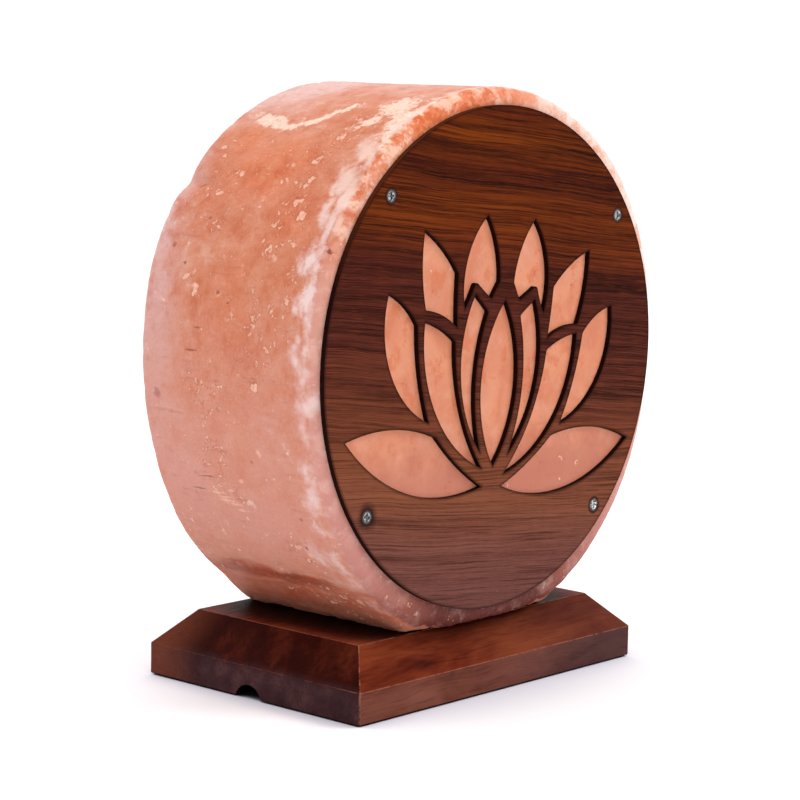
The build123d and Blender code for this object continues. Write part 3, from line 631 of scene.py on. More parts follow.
# Pale strokes on the cuts, partly the fresh salt's colour and partly a painted highlight where the
# gouges catch the light, given in the same way.
PALE_CUTS_AND_GLINTS = (
    (208.9, 10.5, 3.6, 0.6), (209.8, 7.5, 3, 0.35), (210.6, 6, 3.8, 0.6),
    (211.3, 2.5, 3.4, 0.45), (212.6, 0.5, 2.4, 0.5), (208.2, 4, 1.4, 0.4),
    (197.8, -16.7, 1.2, 1.3), (219.8, -21.5, 1.4, 1), (221.5, -27, 1.3, 1.3),
    (163.6, 16, 1.6, 0.8), (156.5, -21, 0.9, 1), (205, -4, 1, 0.7),
)
SKIN_RADIUS_CM = 10.1  # of the barrel, for lengths along its skin


def salt_tints(place):
    """Where the salt is warmer, pinker, darker, veined, frosted or flecked, at each point."""
    blur = field(place, 13.0, 6)
    wobble = field(place, 5.0, 7)
    x, y, z = place.T
    angle = np.degrees(np.arctan2(z - DRUM_Z, x)) % 360
    reach = np.hypot(z - DRUM_Z, x)
    front = y - DRUM_FRONT
    skin = smooth(reach, 84, 96)
    near_angle = angle + 2.6 * blur + 1.1 * wobble
    near_y = y + 5.0 * field(place, 15.0, 8) + 2.0 * wobble

    def tint(name, *others):
        """The strongest, at each point, of a tint's patches and the others given."""
        found = list(others)
        for at_angle, at_y, wide, deep, strength in PATCHES[name]:
            off = (near_angle - at_angle + 180) % 360 - 180
            found.append(hump(off, wide) * hump(near_y - at_y, deep) * skin * strength)
        return np.maximum.reduce(found).clip(0, 1)

    # a pale vein across the top, and the frosted crease along the front edge
    vein_line = 121.0 - 8.5 * smooth(-y, -4.0, 14.0) + 1.0 * np.sin(y / 6.0)
    off_vein = angle - vein_line + 1.2 * blur + 1.6 * wobble
    vein_ends = smooth(y, -14, -9) * (1 - smooth(y, 26, 33))
    vein = hump(off_vein, 1.9 + 1.1 * blur) * vein_ends * skin
    low_down = smooth(np.abs(angle - 218), 26, 8)
    off_crease = front - 5.0 - 2.0 * low_down - 1.6 * wobble
    crease = hump(off_crease, 2.8 + 2.4 * low_down) * (reach > 92) * (0.78 + 0.6 * blur)
    crease *= 1 - 0.65 * low_down * smooth(field(place, 7.0, 9), 0.2, -0.25)
    crease *= smooth(np.abs(angle - 270), 22, 40)
    return {
        "warm": tint("warm"),
        "pink": tint("pink"),
        "deep": tint("deep"),
        "cream": tint("cream", vein),
        "frost": tint("frost", crease),
        "lace": tint("lace"),
        "lip": smooth(-front, -4.4, -1.5) * smooth(reach, 86, 92),
        "face": (front < 0.6) * (1 - smooth(reach, 93, 95)),
    }


def salt_finish():
    f = Finish(
        "salt_crystal", IOR=1.5, Specular_IOR_Level=0.16, Subsurface_Weight=0.2,
        Subsurface_Radius=(0.9, 0.35, 0.2), Subsurface_Scale=0.006,
    )
    x, y, z = f.metres.split()
    level = z - DRUM_Z * MM
    around = f.math("ARCTAN2", x, level) * SKIN_RADIUS_CM
    skin = f.join(around, y * 100, 0)
    turn = f.math("ABSOLUTE", around)  # in cm down from the top, either way
    rim = f.join(x, 0, level).length().step(0.074, 0.096)  # 1 on the barrel, 0 inside the faces

    cloud = f.cm.noise(0.42, 4, 0.55, 0.6)
    mottle = f.cm.moved((7, 3, 1)).noise(1.4, 5, 0.56, 0.3)
    fine = f.cm.moved((2, 9, 4)).noise(9, 4, 0.65)
    crack = f.cm.moved((4, 4, 8)).noise(4, 4, 0.62, 0.4)
    streaks = skin.scaled(3, 0.5, 1).noise(1, 4, 0.6, 0.8)
    uneven = mottle - 0.5
    jagged = crack - 0.5
    gritty = fine - 0.5

    # the body: orange, with pink, amber and lighter parts, a rusty band above the foot, and the foot,
    # its tone partly painted shade
    # painted light and shade: the pink is paler near the top and darker on the underside, as the light
    # falls
    underside_painted_shade = (turn + uneven * 6).step(18.5, 23.5)
    mauve = f.mix(mottle.step(0.36, 0.64), lit(214, 162, 153), lit(220, 177, 172)).coats(
        (turn.step(12, 4) * rim, lit(224, 184, 176)),
        (underside_painted_shade * rim, lit(206, 142, 132)),
    )
    pink = (f.attribute("pink") + uneven * 0.6).step(-0.05, 1.05)
    amber = f.mix((cloud + uneven).step(0.36, 0.62), lit(203, 95, 53), lit(216, 125, 84))
    warm = (f.attribute("warm") + uneven * 1.5).step(0.25, 0.95)
    veil = (mottle + jagged * 0.5).step(0.54, 0.74)
    lower = (turn + uneven * 5).step(12, 18) * rim
    shade = (mottle + jagged * 0.6).step(0.46, 0.28)
    deep = f.attribute("deep") + ((streaks - 0.5) * 1.3 + uneven * 0.9)
    rust = f.mix(streaks.step(0.36, 0.62), lit(116, 38, 18), lit(162, 66, 36))
    # the foot's tone is partly painted shade where the base meets the salt
    foot_tone_and_shade = f.mix(mottle.step(0.38, 0.6), lit(204, 104, 70), lit(218, 134, 106))
    body = (cloud * 0.5 + mottle * 0.5).ramp([
        (0.36, 198, 109, 76), (0.46, 208, 126, 92), (0.55, 212, 138, 108), (0.64, 221, 158, 132),
    ]).coats(
        (pink * 0.92, mauve),
        (warm * 0.85, amber),
        (veil * 0.16, lit(240, 184, 160)),
        (lower * 0.64, lit(211, 143, 123)),
        (shade * lower.fade(0.26, 0.12), lit(192, 98, 62)),
        (fine.step(0.52, 0.8) * 0.35, lit(244, 188, 164)),
        (fine.step(0.46, 0.2) * 0.4, lit(178, 88, 58)),
        (deep.step(0.04, 0.86) * 0.94, rust),
        (turn.step(24.4, 26) * rim * 0.6, foot_tone_and_shade),
    )

    # the bevel round the front: its tone changes from the top down, and near the seat it darkens,
    # partly the salt's colour and partly painted shade
    pale_lip = mottle.step(0.46, 0.66) * turn.between(14, 24, 0.55, 0.22)
    # painted highlight: part of the rim's bevel is washed out nearly white
    rim_highlight_tone = f.mix(mottle.step(0.36, 0.6), lit(234, 176, 152), lit(250, 222, 210))
    rim_highlight = around.step(-0.5, 4.5) * around.step(22, 14)
    flare = turn.step(13, 9) * around.step(3, -1.5)
    scorch = (mottle + jagged).step(0.52, 0.36) * flare
    crust = (mottle + gritty * 0.5).step(0.52, 0.62) * flare
    bevel = turn.between(0, 32, 0, 1).ramp([
        (0, 228, 142, 104), (0.17, 224, 126, 80), (0.26, 221, 146, 114), (0.42, 216, 155, 137),
        (0.62, 210, 146, 133), (0.74, 196, 132, 121), (0.84, 152, 86, 74), (0.9, 104, 48, 40),
    ]).coats(
        (pale_lip * 0.75, lit(244, 198, 182)),
        (rim_highlight * 0.85, rim_highlight_tone),
        (scorch * 0.65, lit(206, 92, 40)),
        (crust * 0.55, lit(248, 206, 178)),
    )

    # pale crumbs in clusters, with darker salt round them
    lip = f.attribute("lip")
    clusters = (f.attribute("lace") + uneven * 1.4).step(0.2, 0.64)
    clusters = clusters * lip.between(0, 0.8, 1, 0)
    warped = f.cm.moved(f.cm.wander(3.2, 3, 0.6, (0.8, 0.8, 0.8)))

    def crumbs(scale, rarity, most):
        """How far inside a crumb a point is, in cells; below 0 it is outside all of them."""
        chance = warped.cells(scale, "Color").split()[0]
        size = f.math("MINIMUM", chance + (clusters * 0.42 - rarity), most)
        return size - warped.cells(scale)

    small = crumbs(3.6, 0.7, 0.36)
    large = crumbs(1.9, 0.8, 0.38)
    rims = largest(small.step(-0.22, -0.06), large.step(-0.16, -0.04))
    flecks = largest(small.step(-0.04, 0.1) * 0.9, large.step(-0.03, 0.08))
    crumb_tone = f.mix(fine.step(0.35, 0.65), lit(236, 172, 142), lit(250, 206, 182))

    # frost, softer and pinker lower down, and the cream vein
    softer = turn.step(13, 18)
    frosted = f.attribute("frost") + (jagged * 0.7 + uneven * 0.6)
    frost = frosted.step(softer.fade(0.22, 0.08), softer.fade(0.8, 1.2))
    hoar = f.mix(mottle.step(0.36, 0.58), lit(228, 182, 174), lit(242, 216, 212)).coats(
        (turn.step(12, 7.5), lit(240, 204, 188)),
    )
    cream = f.attribute("cream") + (jagged * 2.0 + uneven * 1.2)
    milk = f.mix(fine.step(0.35, 0.65), lit(240, 196, 172), lit(250, 224, 206))

    # the calmer face behind the cut-outs
    rosy = f.cm.moved((5, 1, 9)).noise(0.6, 3).step(0.5, 0.62)
    low = (level + uneven * 0.02).step(-0.022, -0.046)
    smudge = crack.step(0.4, 0.3) * mottle.step(0.52, 0.4)
    calm = f.mix(cloud.step(0.35, 0.65), lit_front(216, 132, 98), lit_front(230, 152, 116)).coats(
        (rosy * 0.6, lit_front(222, 149, 119)),
        (mottle.step(0.54, 0.7) * 0.34, lit_front(236, 170, 146)),
        (mottle.step(0.48, 0.33) * 0.58, lit_front(214, 113, 72)),
        (low * 0.85, lit_front(197, 121, 99)),
        (large.step(-0.02, 0.06) * 0.75, lit_front(250, 206, 184)),
        (smudge * 0.5, lit_front(176, 84, 58)),
    )
    # painted light: the face is brightened where the sheet's cut edges shade it, which takes away most
    # of the sheet's soft shade
    painted_light_gain = f.openness(0.006).between(0.5, 1, 1.38, 1)
    calm = f.mix(1, calm, f.node("CombineColor", painted_light_gain, painted_light_gain, painted_light_gain), "MULTIPLY")
    face = f.attribute("face")

    def off(angle, y):
        """The way along the skin, in cm, from a place on the barrel."""
        turned = math.radians((270 - angle) % 360 - 180) * SKIN_RADIUS_CM
        return skin.moved((-turned, -y / 10, 0))

    def speck(angle, y, size, strength):
        far = off(angle, y).length() + jagged * 0.3
        return far.step(size / 8, size / 16) * strength

    def stroke(angle, y, length, width):
        far = off(angle, y).scaled(10 / width, 10 / length, 1).length()
        return (far + jagged * 3.5).step(1.4, 0.6)

    marks = [speck(*row) for row in SPECKS] + [stroke(*row) * 0.6 for row in DASHES]
    body = body.coats(
        ((lip + jagged * 0.5).step(0.25, 0.75), bevel),
        (rims * (clusters * 0.4 + 0.06), lit(184, 84, 50)),
        (flecks * 0.82, crumb_tone),
        (frost * turn.between(15, 23, 0.86, 0.8), hoar),
        (cream.step(0.3, 0.8) * 0.88, milk),
        (face, calm),
        (largest(*marks), lit(120, 46, 30)),
        # pale strokes on the cuts, partly a painted highlight
        *((stroke(*row) * 0.55, lit(244, 188, 162)) for row in PALE_CUTS_AND_GLINTS),
    )

    pits = f.cm.moved((8, 1, 5)).noise(15, 4, 0.7)
    relief = crack * 0.7 + pits * 0.3 + streaks * 0.2 + flecks * 0.3
    return f.done(body, (fine, 0.42, 0.62), (relief * face.fade(1, 0.2), 0.0011, 0.75))


# ---- the front panel
PANEL_ROUND = 0.16  # of the cut edges at the front
COARSE_STEP = 2.0  # of the points over the sheet
FINE_STEP = 0.62  # and close to its edges, which the burn follows
FINE_REACH = 1.5
SCREW_HOLE_LIMIT = 8.0  # loops narrower than this are screw holes
SCREW_NECK = 1.7 / 2.65  # a screw hole's radius over its countersink's
SINK_DEPTH = 0.95
GRAIN_TURN = math.radians(6.4)  # how far the grain slopes down to the right
# The panel's screws: how far the dark stain round each reaches, how dark it is, and how bright
# the screw is painted, a painted highlight set screw by screw, seen from the front.
SCREWS = {
    "upper_left": (3.6, 0.5, 0.48),
    "upper_right": (3.4, 0.4, 0.58),
    "lower_left": (6.5, 0.75, 0.4),
    "lower_right": (4.2, 0.7, 1),
}


def panel_loops():
    """The CAD panel's outlines at its front: rim, cut-outs and screw holes, each as (x, z) rows."""
    work = bmesh.new()
    work.from_mesh(nodes["front_panel"].data)
    bmesh.ops.remove_doubles(work, verts=work.verts, dist=2e-6)
    near = PANEL_FRONT * MM + 1e-5
    flat = {face for face in work.faces if all(v.co.y < near for v in face.verts)}
    follow = {}
    for edge in work.edges:
        sides = [face for face in edge.link_faces if face in flat]
        if len(sides) == 1:
            loop = next(l for l in edge.link_loops if l.face is sides[0])
            follow[loop.vert.index] = (loop.link_loop_next.vert.index, loop.vert.co.copy())
    loops = []
    while follow:
        at, loop = next(iter(follow)), []
        while at in follow:
            at, place = follow.pop(at)
            loop.append((place.x / MM, place.z / MM))
        loops.append(np.array(loop))
    work.free()
    return sorted(loops, key=lambda loop: -np.ptp(loop[:, 0]))


def signed_area(loop):
    """A loop's area, below 0 for one that runs clockwise."""
    x, y = loop.T
    return np.sum(x * np.roll(y, -1) - y * np.roll(x, -1)) / 2


def turned_in(loop, distance):
    """The loop moved sideways, to the left of the way it runs."""
    before = loop - np.roll(loop, 1, axis=0)
    after = np.roll(loop, -1, axis=0) - loop
    before /= np.hypot(*before.T)[:, None]
    after /= np.hypot(*after.T)[:, None]
    run = before + after
    length = np.hypot(*run.T)
    run /= np.maximum(length, 1e-6)[:, None]
    stretch = np.minimum(2 / np.maximum(length, 0.8), 2.5)
    side = np.stack([-run[:, 1], run[:, 0]], 1)
    return loop + side * (distance * stretch)[:, None]


def build_panel():
    loops = panel_loops()
    # the rim, which comes first, has to run anticlockwise and the holes clockwise, so that the
    # wood is always on the left
    loops = [
        loop if (signed_area(loop) > 0) == (k == 0) else loop[::-1] for k, loop in enumerate(loops)
    ]
    cuts = [loop for loop in loops if np.ptp(loop[:, 0]) >= SCREW_HOLE_LIMIT]
    front = [turned_in(loop, PANEL_ROUND) for loop in cuts] + loops[len(cuts):]
    rim = np.concatenate(front)
    ahead = np.concatenate([np.roll(loop, -1, axis=0) for loop in front])

    def edge_distance(p):
        run = ahead - rim
        share = np.clip(((p - rim) * run).sum(1) / np.maximum((run**2).sum(1), 1e-12), 0, 1)
        return np.min(np.hypot(*(rim + run * share[:, None] - p).T))

    def in_wood(p):
        return encloses(rim, ahead, p)

    inner = []
    gaps = []
    for step, least, most in (
        (COARSE_STEP, FINE_REACH, math.inf), (FINE_STEP, FINE_STEP * 0.6, FINE_REACH),
    ):
        for p in hexagons(rim.min(0), rim.max(0), step):
            gap = edge_distance(p) if in_wood(p) else 0.0
            if least < gap <= most:
                inner.append(p)
                gaps.append(gap)
    sheet = np.concatenate([rim, inner])
    faces = triangulate(sheet, front, in_wood, 1e-6)
    points = [(x, PANEL_FRONT, z) for x, z in sheet]
    edge = [0.0] * len(rim) + gaps
    wall = [0.0] * len(points)

    back_ids = []
    start = 0
    for k, loop in enumerate(front):
        ids = list(range(start, start + len(loop)))
        start += len(loop)
        if k < len(cuts):
            rings = [(cuts[k], PANEL_FRONT + PANEL_ROUND * 0.9), (cuts[k], PANEL_BACK)]
        else:
            middle = loop.mean(0)
            neck = middle + (loop - middle) * SCREW_NECK
            rings = [(neck, PANEL_FRONT + SINK_DEPTH), (neck, PANEL_BACK)]
        for outline, level in rings:
            next_ids = list(range(len(points), len(points) + len(outline)))
            points += [(x, level, z) for x, z in outline]
            edge += [0.0] * len(outline)
            wall += [1.0] * len(outline)
            faces += [face[::-1] for face in band(ids, next_ids)]
            ids = next_ids
        back_ids += ids
    back_points = [(points[i][0], points[i][2]) for i in back_ids]
    for triangle in triangulate(back_points, front, in_wood, 1e-6):
        faces.append([back_ids[i] for i in triangle][::-1])
    piece = make_mesh("lotus_panel", points, faces, {"edge": edge, "wall": wall}, False)
    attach(piece, "lamp_body")
    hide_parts("front_panel")
    return piece


def screw_gap(f, corner):
    """The distance from a panel screw's axis, in metres."""
    low, high = box_mm(f"panel_screw_{corner}")
    return f.metres.moved(tuple(-(low + high) / 2 * MM)).scaled(1, 0, 1).length()


def panel_finish():
    f = Finish("figured_veneer", IOR=1.45, Specular_IOR_Level=0.02)
    raised = f.metres.moved((0, 0, -DRUM_Z * MM))
    along = f.metres.dot(math.cos(GRAIN_TURN), 0, -math.sin(GRAIN_TURN)) * 100
    across = raised.dot(math.sin(GRAIN_TURN), 0, math.cos(GRAIN_TURN)) * 100
    sheet = f.join(along, 0, across)
    drift = sheet.scaled(0.16, 1, 0.25).noise(1, 1) - 0.5
    sway = sheet.scaled(0.55, 1, 0.8).noise(1, 1) - 0.5
    ripple = sheet.scaled(1.7, 1, 2.2).noise(1, 2) - 0.5
    height = across + (drift * 0.45 + sway * 0.09 + ripple * 0.035)
    place = height.between(-9.5, 9.5, 0, 1)
    light = place.ramp([
        (0, 118, 74, 68), (0.12, 124, 75, 65), (0.22, 139, 81, 56), (0.34, 129, 69, 44),
        (0.5, 98, 46, 35), (0.6, 90, 40, 30), (0.67, 82, 33, 24), (0.74, 120, 52, 15),
        (0.8, 124, 54, 13), (0.865, 86, 31, 13), (0.935, 124, 55, 9), (1, 96, 34, 13),
    ], FRONT_LIGHT)
    dark = place.ramp([
        (0, 92, 54, 50), (0.22, 98, 53, 38), (0.45, 52, 20, 15), (0.66, 40, 13, 9),
        (0.78, 54, 16, 5), (0.865, 36, 9, 5), (0.96, 46, 11, 4),
    ], FRONT_LIGHT)

    lanes = f.join(along, 0, height)
    groups = lanes.scaled(0.04, 1, 2.2).noise(1, 2, 0.55)
    lines = lanes.scaled(0.09, 1, 9).noise(1, 3, 0.6)
    threads = lanes.scaled(0.22, 1, 22).noise(1, 2, 0.6)
    hairs = lanes.scaled(0.9, 1, 60).noise(1, 2, 0.6)
    pores = lanes.scaled(1.5, 1, 42).noise(1, 2, 0.6)
    fleck = lanes.scaled(4, 1, 30).noise(1, 3, 0.65)
    blend = groups * 0.32 + lines * 0.36 + threads * 0.32
    bloom = across.step(2, -8)
    strong = lines.step(0.42, 0.34) * groups.step(0.6, 0.44)
    pale_hair = f.mix(bloom, lit(150, 68, 20), lit(164, 98, 72))
    burn = (f.attribute("edge") + ripple * 0.5).step(1.3, 0)
    # the cut walls are dark, and the rim's upper side catches the light
    upward = f.node("NewGeometry", out="Normal").split()[2]
    outer = raised.scaled(1, 0, 1).length().step(0.092, 0.094)
    wall_tone = f.mix(upward.step(0.25, 0.75) * outer, lit(24, 9, 8), lit(84, 40, 22))

    def halo(corner, size, strength):
        return (screw_gap(f, corner) + ripple * 0.003).step(size * MM, 0.0026) * strength

    tone = f.mix(blend.step(0.4, 0.6), dark, light).coats(
        (bloom * 0.28, light),
        (threads.step(0.47, 0.33) * 0.55, lit(46, 17, 11)),
        (strong * across.between(-6, 1, 0.4, 0.75), lit(30, 9, 5)),
        (hairs.step(0.52, 0.7) * 0.32, pale_hair),
        (pores.step(0.6, 0.7) * 0.5, lit(32, 11, 6)),
        (fleck.step(0.62, 0.76) * (bloom * 0.5 + 0.02), lit(178, 134, 122)),
        *((halo(corner, *row[:2]), lit(34, 20, 18)) for corner, row in SCREWS.items()),
        (burn * 0.62, lit(36, 15, 10)),
        (f.attribute("wall") * 0.92, wall_tone),
    )
    relief = threads * 0.6 + (hairs * 0.3 - pores * 0.3)
    return f.done(tone, (threads, 0.62, 0.46), (relief, 0.0003, 0.5))


# ---- the base
BASE_SLOPE_RISE = 13.4  # of the sloped faces, over a run of
BASE_SLOPE_RUN = 13.0


def base_finish():
    f = Finish("stained_hardwood", IOR=1.45, Specular_IOR_Level=0.018)
    swirl = f.cm.scaled(0.5, 1, 1).noise(0.5, 3, 0.55, 1)
    sway = f.cm.scaled(0.4, 1, 1).wander(0.45, 2, 0.5, (0, 1.2, 1.2))
    wood = f.cm.moved(sway)
    bands = wood.scaled(0.22, 1.1, 1.4).noise(1, 3, 0.55)
    threads = wood.scaled(0.35, 7, 9).noise(1, 3, 0.65)
    pores = wood.scaled(1.8, 26, 30).noise(1, 2, 0.6)
    figure = bands * 0.34 + swirl * 0.54 + threads * 0.12
    face = f.node("NewGeometry", out="True Normal")
    facing_x, _, upward = face.split()
    x, y, z = f.cm.split()

    # the tones of the top, and of the slopes and sides of the front and the ends
    top = figure.ramp([(0.36, 84, 28, 17), (0.5, 122, 50, 32), (0.64, 146, 72, 50)])
    slope = figure.ramp([(0.34, 70, 21, 9), (0.48, 112, 43, 22), (0.64, 142, 67, 37)], FRONT_LIGHT)
    side = figure.ramp([(0.34, 84, 44, 36), (0.48, 116, 65, 52), (0.64, 134, 80, 66)], FRONT_LIGHT)
    # the ends are much darker, partly as end grain that takes more stain and partly as painted shade
    end_slope = figure.ramp([(0.38, 36, 8, 4), (0.52, 54, 14, 7), (0.7, 92, 36, 20)])
    end_side = figure.ramp([(0.36, 46, 26, 29), (0.52, 64, 40, 42), (0.68, 89, 59, 55)])
    rightward = x.step(-3, 8)
    slope = slope.coats((rightward * 0.5, lit_front(84, 51, 43)))
    side = side.coats((rightward * 0.75, lit_front(66, 50, 53)))
    fronts = f.mix(z.step(1.18, 1.32), side, slope)
    ends = f.mix((z + (swirl - 0.5) * 0.5).step(1.08, 1.5), end_side, end_slope)
    ends = ends.coats((y.step(2.4, 5.2) * 0.7, lit(116, 60, 42)))
    bare = f.mix(figure, lit(70, 36, 26), lit(120, 72, 52))
    # painted shade: the downward faces above the underside, in the cord groove, are nearly black
    underside = bare.coats((z.step(0.12, 0.3), lit(24, 10, 8)))

    # painted shade under the drum, the edges lighter where worn and with a painted highlight, and
    # specked
    near = f.openness(0.018)
    shut_in = near.step(upward.between(0.8, 0.95, 1, 0.92), 0.44) * upward.step(0.3, 0.6)
    unsigned = f.node("VectorMath", face, operation="ABSOLUTE")
    lean = math.atan2(BASE_SLOPE_RISE, BASE_SLOPE_RUN)
    leaning, rising = math.sin(lean), math.cos(lean)
    mains = ((1, 0, 0), (0, 1, 0), (0, 0, 1), (leaning, 0, rising), (0, leaning, rising))
    flat = largest(*(unsigned.dot(*main).step(0.988, 0.996) for main in mains))
    scuff = f.cm.noise(3.2, 4, 0.7)
    on_edge = f.math("SUBTRACT", 1, flat) * upward.step(-0.3, 0)
    handled = largest(y.step(-4.2, -5.2), z.step(2.2, 2.5))
    # the edges are lighter, partly wear and partly a painted highlight
    worn_and_highlit = on_edge * scuff.step(0.36, 0.56) * handled.fade(0.12, 0.55)
    cells = f.cm.moved(sway.moved((2, 2, 6))).cells(4)
    specks = (cells + (scuff - 0.5) * 0.3).step(0.1, 0.02) * scuff.step(0.5, 0.58)
    tone = f.mix(f.math("ABSOLUTE", facing_x).step(0.3, 0.6), fronts, ends).coats(
        (upward.step(0.8, 0.95), top),
        (threads.step(0.48, 0.32) * 0.22, lit(40, 13, 9)),
        (pores.step(0.6, 0.7) * 0.2, lit(34, 12, 9)),
        (upward.step(-0.25, -0.45), underside),
        (shut_in * 0.9, lit(30, 6, 3)),
        (near.step(0.42, 0.22), lit(18, 4, 2)),
        (worn_and_highlit, lit(176, 108, 82)),
        (specks * 0.45, lit(190, 128, 102)),
    )
    relief = threads * 0.6 + (scuff * 0.3 - pores * 0.2)
    return f.done(tone, (threads, 0.48, 0.36), (relief, 0.0004, 0.5))


# ---- the fittings' materials
UNLIT = 1.0  # for colours that are given as they are
SCREW_STAIN = (0.05, 0.05, 0.05, 1)
SCREW_DIRT = (0.02, 0.012, 0.009, 1)
# Metals, as (name, bright colour, dull colour, roughness, the nodes they are for).
METALS = (
    ("zinc_plated_steel", (176, 178, 176), (104, 108, 110), 0.34, (
        "drum_screw", "drum_washer", "holder_plate", "nipple_nut", "clip_rivet", "cord_nipple",
        "terminal_screw",
    )),
    ("blued_spring_steel", (150, 152, 156), (92, 96, 104), 0.28, ("spring_clip",)),
    ("drawn_brass", (212, 170, 92), (158, 118, 56), 0.3, ("thread_shell", "centre_contact")),
    ("nickel_cap", (206, 204, 198), (150, 148, 142), 0.26, ("bulb_cap",)),
    ("solder_dot", (168, 170, 172), (118, 120, 122), 0.4, ("bulb_tip",)),
    ("lead_wire", (196, 160, 130), (140, 108, 84), 0.35, ("lead_wire",)),
)
# Moulded pieces, as (name, light colour, dark colour, roughness, grain's scale, nodes).
MOULDINGS = (
    ("pressed_stem_glass", (214, 220, 220), (180, 190, 190), 0.15, 18, ("bulb_stem",)),
    ("black_glass", (26, 24, 30), (10, 9, 12), 0.14, 18, ("bulb_insulator",)),
    ("black_moulding", (30, 28, 28), (14, 13, 13), 0.34, 18, ("holder_cap", "holder_body")),
    ("glazed_porcelain", (236, 232, 222), (214, 208, 196), 0.2, 6, ("holder_insert",)),
    ("grey_nylon", (150, 152, 152), (118, 120, 122), 0.5, 18, ("panel_plug", "drum_plug")),
)


def metal_finish(name, bright, dull, rough):
    f = Finish(name, Metallic=1.0)
    bright, dull = lit(*bright, UNLIT), lit(*dull, UNLIT)
    wipe = f.cm.scaled(30, 30, 30).noise(1, 4, 0.6)
    stain = f.cm.noise(2.2, 4, 0.6)
    tone = f.mix(stain.step(0.35, 0.65), dull, bright).coats((wipe.step(0.55, 0.75) * 0.35, dull))
    polish = (wipe * 0.5 + stain * 0.5, rough * 0.7, rough * 1.3)
    return f.done(tone, polish, (wipe, 0.00008, 0.4))


def moulded_finish(name, light, dark, rough, grain):
    f = Finish(name, IOR=1.5)
    pebble = f.cm.noise(grain, 4, 0.6)
    cloud = f.cm.noise(1.1, 3, 0.55)
    tone = f.mix(pebble * 0.4 + cloud * 0.6, lit(*dark, UNLIT), lit(*light, UNLIT))
    return f.done(tone, (pebble, rough * 0.85, rough * 1.15), (pebble, 0.0001, 0.5))


def screw_finish(corner, painted_brightness):
    """Old plated steel with dirt in the recess and round the head's rim."""
    f = Finish(f"aged_steel_{corner}", Specular_IOR_Level=0.2)
    stain = f.cm.noise(9, 4, 0.65)
    # painted highlight: the plating is as bright as that screw looks in the light
    painted_plating = (painted_brightness, painted_brightness, painted_brightness * 0.98, 1)
    rim = (screw_gap(f, corner) + (stain - 0.5) * 0.0012).step(0.0016, 0.0022)
    f.set("Metallic", rim.fade(0.7, 0.1))
    tone = f.mix(stain.step(0.42, 0.58), SCREW_STAIN, painted_plating).coats((rim * 0.95, SCREW_DIRT))
    return f.done(tone, (stain, 0.35, 0.55), (stain, 0.0002, 0.6))


def felt_finish():
    f = Finish("foot_felt", Roughness=0.95, Sheen_Weight=0.3)
    fibre = f.cm.scaled(22, 22, 9).noise(1, 5, 0.75, 1.4)
    tone = fibre.ramp([(0.32, 28, 24, 23), (0.68, 66, 58, 54)], UNLIT)
    return f.done(tone, None, (fibre, 0.0005, 0.9))


def glass_finish():
    f = Finish("bulb_clear_glass", Transmission_Weight=1.0, IOR=1.48)
    haze = f.cm.noise(1.6, 3, 0.6)
    tone = f.mix(haze, lit(246, 248, 248, UNLIT), lit(255, 255, 255, UNLIT))
    return f.done(tone, (haze, 0.01, 0.05))


def hot_wire_finish():
    f = Finish("tungsten_coil", Metallic=1.0)
    turns = f.cm.scaled(90, 4, 4).noise(1, 1)
    tone = f.mix(turns.step(0.45, 0.55), lit(64, 62, 62, UNLIT), lit(150, 146, 142, UNLIT))
    return f.done(tone, (turns, 0.3, 0.5), (turns, 0.0002, 1))


def dress(material, *prefixes):
    """Give a material to every CAD node whose name starts with one of the prefixes."""
    for name, node in nodes.items():
        if name.startswith(prefixes):
            node.data.materials.clear()
            node.data.materials.append(material)


build_salt().data.materials.append(salt_finish())
build_panel().data.materials.append(panel_finish())
dress(base_finish(), "wooden_base")
for corner, (_, _, painted_brightness) in SCREWS.items():
    dress(screw_finish(corner, painted_brightness), f"panel_screw_{corner}")
for *looks, covered in METALS:
    dress(metal_finish(*looks), *covered)
for *looks, covered in MOULDINGS:
    dress(moulded_finish(*looks), *covered)
dress(hot_wire_finish(), "filament")
dress(glass_finish(), "bulb_glass")
dress(felt_finish(), "foot")


# ---- floor, light and camera
FLOOR_REACH = 6.0  # in metres, from the middle
FLOOR_PALE = ((0.955, 0.955, 0.96, 1), (0.965, 0.965, 0.97, 1))
# painted shadow on the floor round the base, and the darkest one in the gaps beneath it
FLOOR_SHADE = (0.66, 0.64, 0.78, 1)
FLOOR_DEEP_SHADOW = (0.03, 0.02, 0.03, 1)
# Square lights, as (name, place, aim, size, power), in metres and watts.
LIGHTS = (
    ("key", (0.9, -1.1, 1.5), (0, 0, 0.12), 0.9, 14),
    ("top", (-0.3, 0.6, 1.8), (0, 0, 0.1), 1.4, 10),
)
LIGHT_COLOUR = (1, 0.985, 0.95)
SKY_COLOUR = (0.972, 0.968, 1, 1)
SKY_STRENGTH = 1.08
CAMERA_PLACE = (-738.66, -658.23, 241.42)
CAMERA_YAW = math.radians(48.295)
CAMERA_PITCH = math.radians(-7.815)
CAMERA_ROLL = math.radians(1.17)
CAMERA_FOCAL = 2563.2  # in pixels of a picture of that width
PICTURE_WIDTH = 800
SENSOR_WIDTH = 36.0


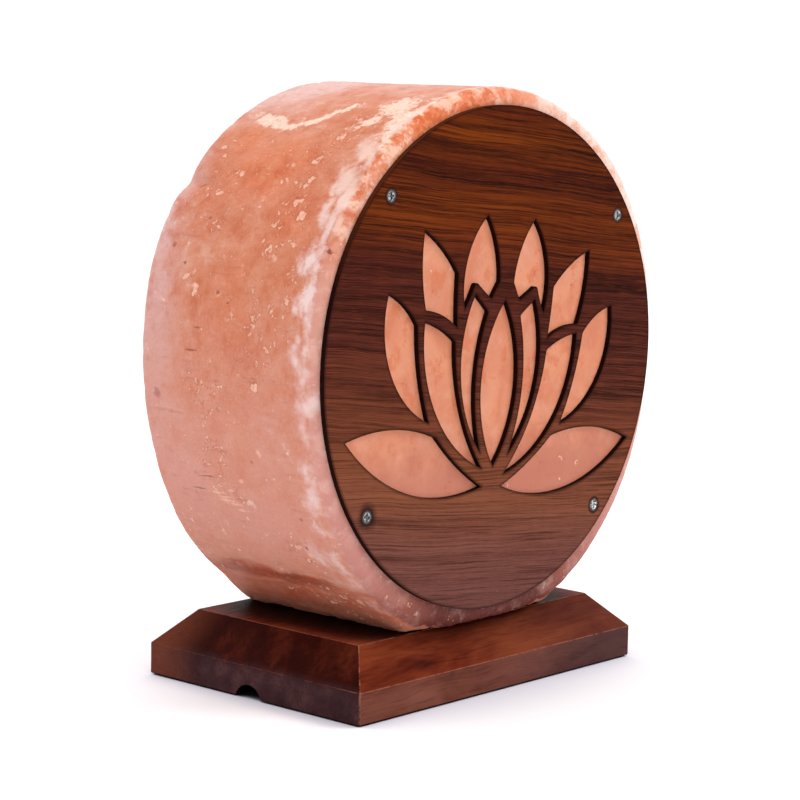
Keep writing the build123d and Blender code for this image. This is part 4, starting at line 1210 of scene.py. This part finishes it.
def build_floor():
    r = FLOOR_REACH
    mesh = bpy.data.meshes.new("floor")
    mesh.from_pydata([(-r, -r, 0), (r, -r, 0), (r, r, 0), (-r, r, 0)], [], [(0, 1, 2, 3)])
    floor = bpy.data.objects.new("floor", mesh)
    bpy.context.scene.collection.objects.link(floor)
    f = Finish("pale_floor", Roughness=0.8, Specular_IOR_Level=0.1)
    near = f.openness(0.05)
    # painted shadow on the floor, from how shut in each place is
    tone = f.mix(f.metres.noise(1.5), *FLOOR_PALE).coats(
        (near.step(1, 0.45) * 0.55, FLOOR_SHADE),
        (near.step(0.4, 0.12), FLOOR_DEEP_SHADOW),
    )
    mesh.materials.append(f.done(tone))


def build_lights():
    for name, place, aim, size, power in LIGHTS:
        light = bpy.data.lights.new(name, "AREA")
        light.shape = "SQUARE"
        light.size = size
        light.energy = power
        light.color = LIGHT_COLOUR
        lamp = bpy.data.objects.new(name, light)
        lamp.location = place
        lamp.rotation_euler = (Vector(aim) - Vector(place)).to_track_quat("-Z", "Y").to_euler()
        lamp.visible_glossy = False
        bpy.context.scene.collection.objects.link(lamp)
    world = bpy.data.worlds.new("studio")
    world.use_nodes = True
    bpy.context.scene.world = world
    sky = world.node_tree.nodes["Background"]
    sky.inputs["Color"].default_value = SKY_COLOUR
    sky.inputs["Strength"].default_value = SKY_STRENGTH


def build_camera():
    level = math.cos(CAMERA_PITCH)
    ahead = Vector((
        math.sin(CAMERA_YAW) * level, math.cos(CAMERA_YAW) * level, math.sin(CAMERA_PITCH),
    ))
    right = ahead.cross(Vector((0, 0, 1))).normalized()
    up = right.cross(ahead)
    c, s = math.cos(CAMERA_ROLL), math.sin(CAMERA_ROLL)
    right, up = right * c + up * s, up * c - right * s
    data = bpy.data.cameras.new("camera")
    data.sensor_width = SENSOR_WIDTH
    data.lens = CAMERA_FOCAL * SENSOR_WIDTH / PICTURE_WIDTH
    data.clip_start = 0.01
    camera = bpy.data.objects.new("camera", data)
    turn = Matrix((right, up, -ahead)).transposed().to_4x4()
    camera.matrix_world = Matrix.Translation(Vector(CAMERA_PLACE) * MM) @ turn
    bpy.context.scene.collection.objects.link(camera)
    bpy.context.scene.camera = camera


build_floor()
build_lights()
build_camera()
bpy.context.scene.view_settings.view_transform = "Standard"
